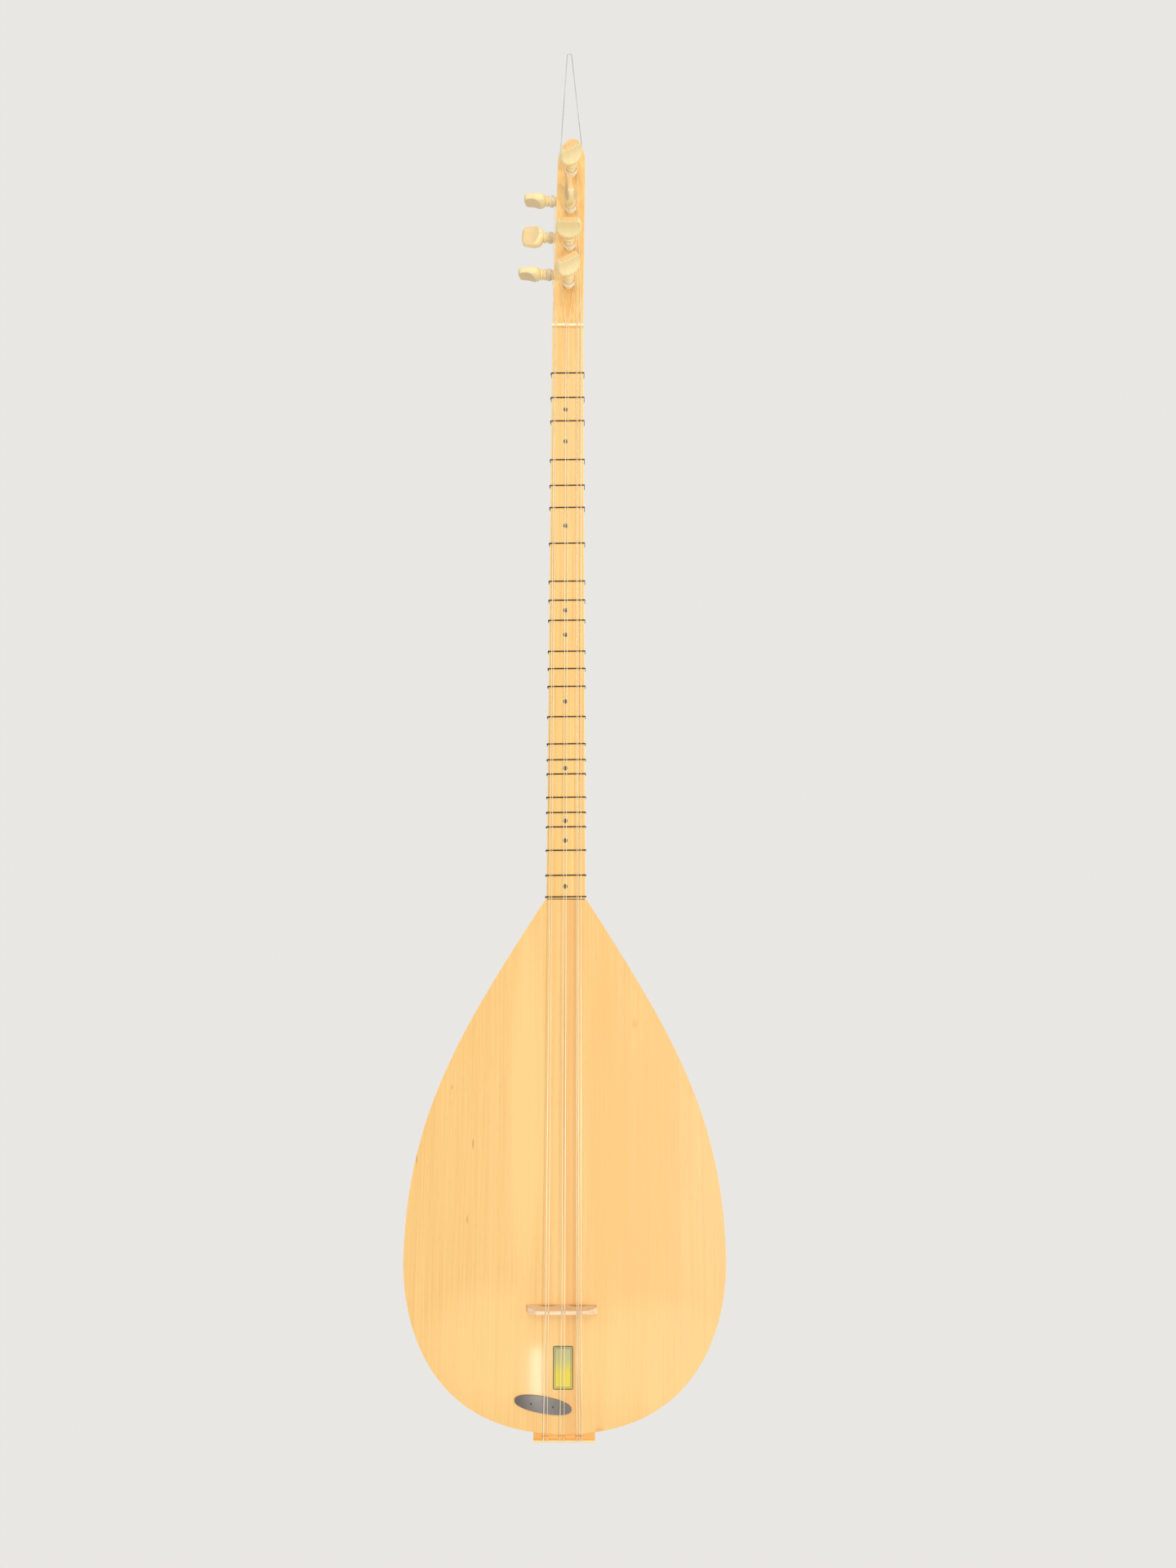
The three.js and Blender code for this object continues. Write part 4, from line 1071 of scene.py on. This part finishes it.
def make_strings():
    bridge_low, bridge_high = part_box("bridge")
    bridge_width = bridge_high.x - bridge_low.x
    bridge_x = (bridge_low.x + bridge_high.x) / 2
    bridge_z = (bridge_low.z + bridge_high.z) / 2 - NUT_Z
    tail_low, tail_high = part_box("tail_piece")
    tail_width = tail_high.x - tail_low.x
    for number, diameter in enumerate(STRING_DIAMETERS):
        nut = place(STRING_NUT_SHARES[number] * NECK_TOP_WIDTH,
                    -(NUT_RISE - NUT_NOTCH_DEPTH + SEAT_GAP + diameter / 2), NUT_THICKNESS / 2)
        rise = BRIDGE_HEIGHT - BRIDGE_NOTCH_DEPTH + BRIDGE_NOTCH_GAP + diameter / 2
        bridge = place(bridge_x + STRING_BRIDGE_SHARES[number] * bridge_width, -rise,
                       bridge_z - BRIDGE_TOP_THICKNESS / 2)
        tail = string_tail(number, STRING_TAIL_SHARES[number] * tail_width)
        route = [*string_start(number), nut, bridge, *tail]
        string = curve_object(f"course_string_{number + 1}", [route], diameter)
        keep(string, "root", "string_steel", STEEL, f"string_{number + 1}")


# Frets: two turns of line round the neck.

FRET_BACK_STEPS = 40
FRET_KNOT_TURNS = 3
FRET_KNOT_STEPS = 14
FRET_KNOT_OUT = 0.0002
FRET_KNOT_LOW = 0.0003
FRET_KNOT_HALF = 0.00085
FRET_KNOT_DEPTH = 0.0008


def fret_turn(below):
    """One turn as (x, depth): round the back, up the left side and across the face."""
    offset = FRET_SEAT + FRET_DIAMETER / 2
    half, depth = neck_size(below)
    back = back_arc(half + offset, depth + offset, FRET_BACK_STEPS)
    corner = [(offset * c, offset * s) for c, s in circle(16)[:5]]
    left = [(-half - x, -y) for x, y in corner]
    right = [(half + x, -y) for x, y in reversed(corner)]
    middle = FRET_BACK_STEPS // 2
    return back[middle:] + left + right + back[:middle]


def fret_knot(below):
    """The line's end, wrapped round both turns at the left edge of the neck."""
    side = neck_size(below)[0] + FRET_SEAT + FRET_DIAMETER / 2 + FRET_KNOT_OUT
    points = []
    for step in range(FRET_KNOT_TURNS * FRET_KNOT_STEPS + 1):
        angle = tau * step / FRET_KNOT_STEPS
        points.append(place(FRET_KNOT_OUT * cos(angle) - side,
                            FRET_KNOT_DEPTH + FRET_DIAMETER * step / FRET_KNOT_STEPS,
                            FRET_KNOT_HALF * sin(angle) - below - FRET_KNOT_LOW))
    return points


def fret_below(number):
    """How far a fret lies below the nut."""
    low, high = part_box(f"fret_{number:02d}")
    return NUT_Z - (low.z + high.z) / 2


def make_fret(number):
    name = f"fret_{number:02d}"
    below = fret_below(number)
    turn = fret_turn(below)
    rise = FRET_PITCH / len(turn)
    points = []
    for step in range(FRET_TURNS * len(turn)):
        x, depth = turn[step % len(turn)]
        height = rise * step - FRET_PITCH * FRET_TURNS / 2 + x * FRET_SLOPE
        points.append(place(x, depth, height - below))
    line = curve_object(f"{name}_line", [points, fret_knot(below)], FRET_DIAMETER)
    keep(line, name, "fret_nylon", NYLON, name)


# Small things on the face: position dots, the bare label and the oval's pins.

DOT_DIAMETER = 0.0042
DOT_RISE = 0.00005
# The fret above each dot, and how far down the way to the next fret the dot lies.
DOTS = [(2, 0.518), (3, 0.530), (6, 0.511), (9, 0.502), (10, 0.469), (13, 0.495), (16, 0.596),
        (19, 0.586), (20, 0.584), (22, 0.517)]
DOT_LEFT_AT_NUT = 0.0021
DOT_LEFT_AT_JOINT = 0.0006
PIN_PLACES = [(-0.0275, -0.9637), (-0.0092, -0.9663)]
PIN_DIAMETER = 0.0017
PIN_RISE = 0.0004


def disc(centre, diameter, rise, dome=0.0):
    """A thin round inlay that stands a little out of the face, with a domed head."""
    levels = [(1.0, 0.0002), (1.0, -rise * 0.6), (0.96, -rise)]
    levels += [(share, -rise - dome * (1 - share ** 2)) for share in (0.7, 0.4, 0.1) if dome]
    return loft([[centre + Vector((share * diameter / 2 * c, depth, share * diameter / 2 * s))
                  for c, s in circle(32)] for share, depth in levels])


def joined(name, parts):
    points, faces = [], []
    for more_points, more_faces in parts:
        faces += [tuple(len(points) + corner for corner in face) for face in more_faces]
        points += more_points
    return mesh_object(name, points, faces)


def make_dots():
    parts = []
    for number, share in DOTS:
        at = mix(fret_below(number), fret_below(number + 1), share)
        left = mix(DOT_LEFT_AT_NUT, DOT_LEFT_AT_JOINT, at / NECK_LENGTH)
        parts.append(disc(place(-left, 0, -at), DOT_DIAMETER, DOT_RISE))
    keep(joined("position_dots", parts), "root", "dark_plate", DOT_SHELL)


def make_pins():
    rise = FACE_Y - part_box("oval_plate")[0].y
    parts = [disc(place(x, -rise, height), PIN_DIAMETER, PIN_RISE / 2, PIN_RISE / 2)
             for x, height in PIN_PLACES]
    keep(joined("oval_pins", parts), "root", "dark_plate", PIN_METAL)


def label_ring(inset, depth, corner_steps=6):
    half_width, half_length = LABEL_WIDTH / 2 - inset, LABEL_LENGTH / 2 - inset
    ring = []
    for quarter, (across, along) in enumerate(((1, 1), (-1, 1), (-1, -1), (1, -1))):
        for step in range(corner_steps + 1):
            angle = radians(90) * (quarter + step / corner_steps)
            x = across * (half_width - LABEL_CORNER) + LABEL_CORNER * cos(angle)
            z = along * (half_length - LABEL_CORNER) + LABEL_CORNER * sin(angle)
            ring.append(place(LABEL_CENTRE[0] + x, depth, LABEL_CENTRE[1] + z))
    return ring


def make_label():
    """A thin plate with round corners and an eased edge."""
    ease = LABEL_RISE / 2
    rings = [label_ring(0, 0.0001), label_ring(0, ease - LABEL_RISE),
             label_ring(ease, -LABEL_RISE)]
    label = mesh_object("bare_label", *loft(rings))
    keep(label, "root", "soundboard_wood", LABEL_FOIL)


def dress(node, material, edge=None):
    """Gives a CAD node that stays its finish, and eases its edges."""
    obj = frame["nodes"][node]
    obj.data.materials.clear()
    obj.data.materials.append(material)
    if edge:
        modifier = obj.modifiers.new("edges", "BEVEL")
        modifier.width = edge
        modifier.segments = 3
        modifier.limit_method = "ANGLE"
        modifier.angle_limit = radians(30)


# Light and surroundings.

BACKDROP = colour("E9E7E3")
WORLD_STRENGTH = 0.64
FLOOR_BELOW_TAIL = 1.1
FLOOR_RADII = (0.5, 1.5, 6.0)
FLOOR_STEPS = 96

MIDDLE = (0, 0, -0.75)
# Soft lamps: name, place, aim, width, height, power and whether reflections show them.
LAMPS = [
    ("key", (0.9, -3.2, -1.75), MIDDLE, 0.25, 0.25, 32, True),
    ("fill", (0.1, -2.5, 0.85), (0, 0, -0.25), 1.2, 1.2, 16, True),
    ("right side", (3.0, -1.1, -0.5), MIDDLE, 1.5, 2.0, 14, False),
    ("left side", (-3.0, -1.1, -0.5), MIDDLE, 1.5, 2.0, 3, False),
    ("strip", (-0.151, -2.93, -2.33), (-0.02, -0.03, -1.27), 0.034, 0.16, 0.34, True),
]


def make_world():
    world = bpy.data.worlds.new("studio")
    world.use_nodes = True
    tree = Nodes(world.node_tree)
    plain = tree.nodes["Background"]
    plain.inputs["Color"].default_value = (1, 1, 1, 1)
    plain.inputs["Strength"].default_value = WORLD_STRENGTH
    shown = tree.node("ShaderNodeBackground", Color=BACKDROP)
    tree.choose(tree.seen(), plain, shown, "World Output")
    bpy.context.scene.world = world


def make_floor():
    """A round floor that fades into the backdrop."""
    height = BOARD_LOW.z - FLOOR_BELOW_TAIL
    points, faces = loft([[(radius * c, radius * s, height) for c, s in circle(FLOOR_STEPS)]
                          for radius in FLOOR_RADII])
    faces = [tuple(range(FLOOR_STEPS))] + [(a, d, c, b) for a, b, c, d in faces[:-2]]
    floor = link("floor", bpy.data.meshes.new("floor"))
    floor.data.from_pydata(points, [], faces)
    finish = Finish("pale floor", 0.9)
    point = finish.place()
    base = finish.ramp(finish.noise(point, (3, 3, 3), detail=4), (0.2, "E2E0DC"), (0.8, "E9E7E3"))
    finish.put(finish.shader.inputs["Base Color"], base)
    x_axis, y_axis, _ = finish.split(point)
    far = finish.between(finish.math("SQRT", x_axis * x_axis + y_axis * y_axis), 0.4, 1.6)
    glow = finish.node("ShaderNodeEmission", Color=BACKDROP)
    finish.choose(far * finish.seen(), finish.shader, glow, "Material Output")
    floor.data.materials.append(finish.material)


def make_lamp(name, at, aim, width, height, power, shows):
    lamp = link(name, bpy.data.lights.new(name, "AREA"))
    lamp.data.shape = "RECTANGLE"
    lamp.data.size = width
    lamp.data.size_y = height
    lamp.data.energy = power
    lamp.location = at
    lamp.visible_glossy = shows
    lamp.rotation_euler = (Vector(aim) - Vector(at)).to_track_quat("-Z", "Y").to_euler()


# The scene.

make_soundboard()
make_bowl()
make_neck()
make_head()
for peg_name in PEG_TURNS:
    make_peg(peg_name)
    make_winding(peg_name)
make_strings()
for fret in range(1, 24):
    make_fret(fret)
make_dots()
make_pins()
make_label()

dress("neck_block", BLOCK_WOOD)
dress("tail_block", BLOCK_WOOD)
dress("nut", BONE, 0.0003)
dress("bridge", BRIDGE_WOOD, 0.0003)
dress("tail_piece", TAIL_WOOD, 0.0003)
dress("oval_plate", DARK_GLOSS, 0.0007)

make_world()
make_floor()
for lamp in LAMPS:
    make_lamp(*lamp)

bpy.context.scene.view_settings.view_transform = "Standard"
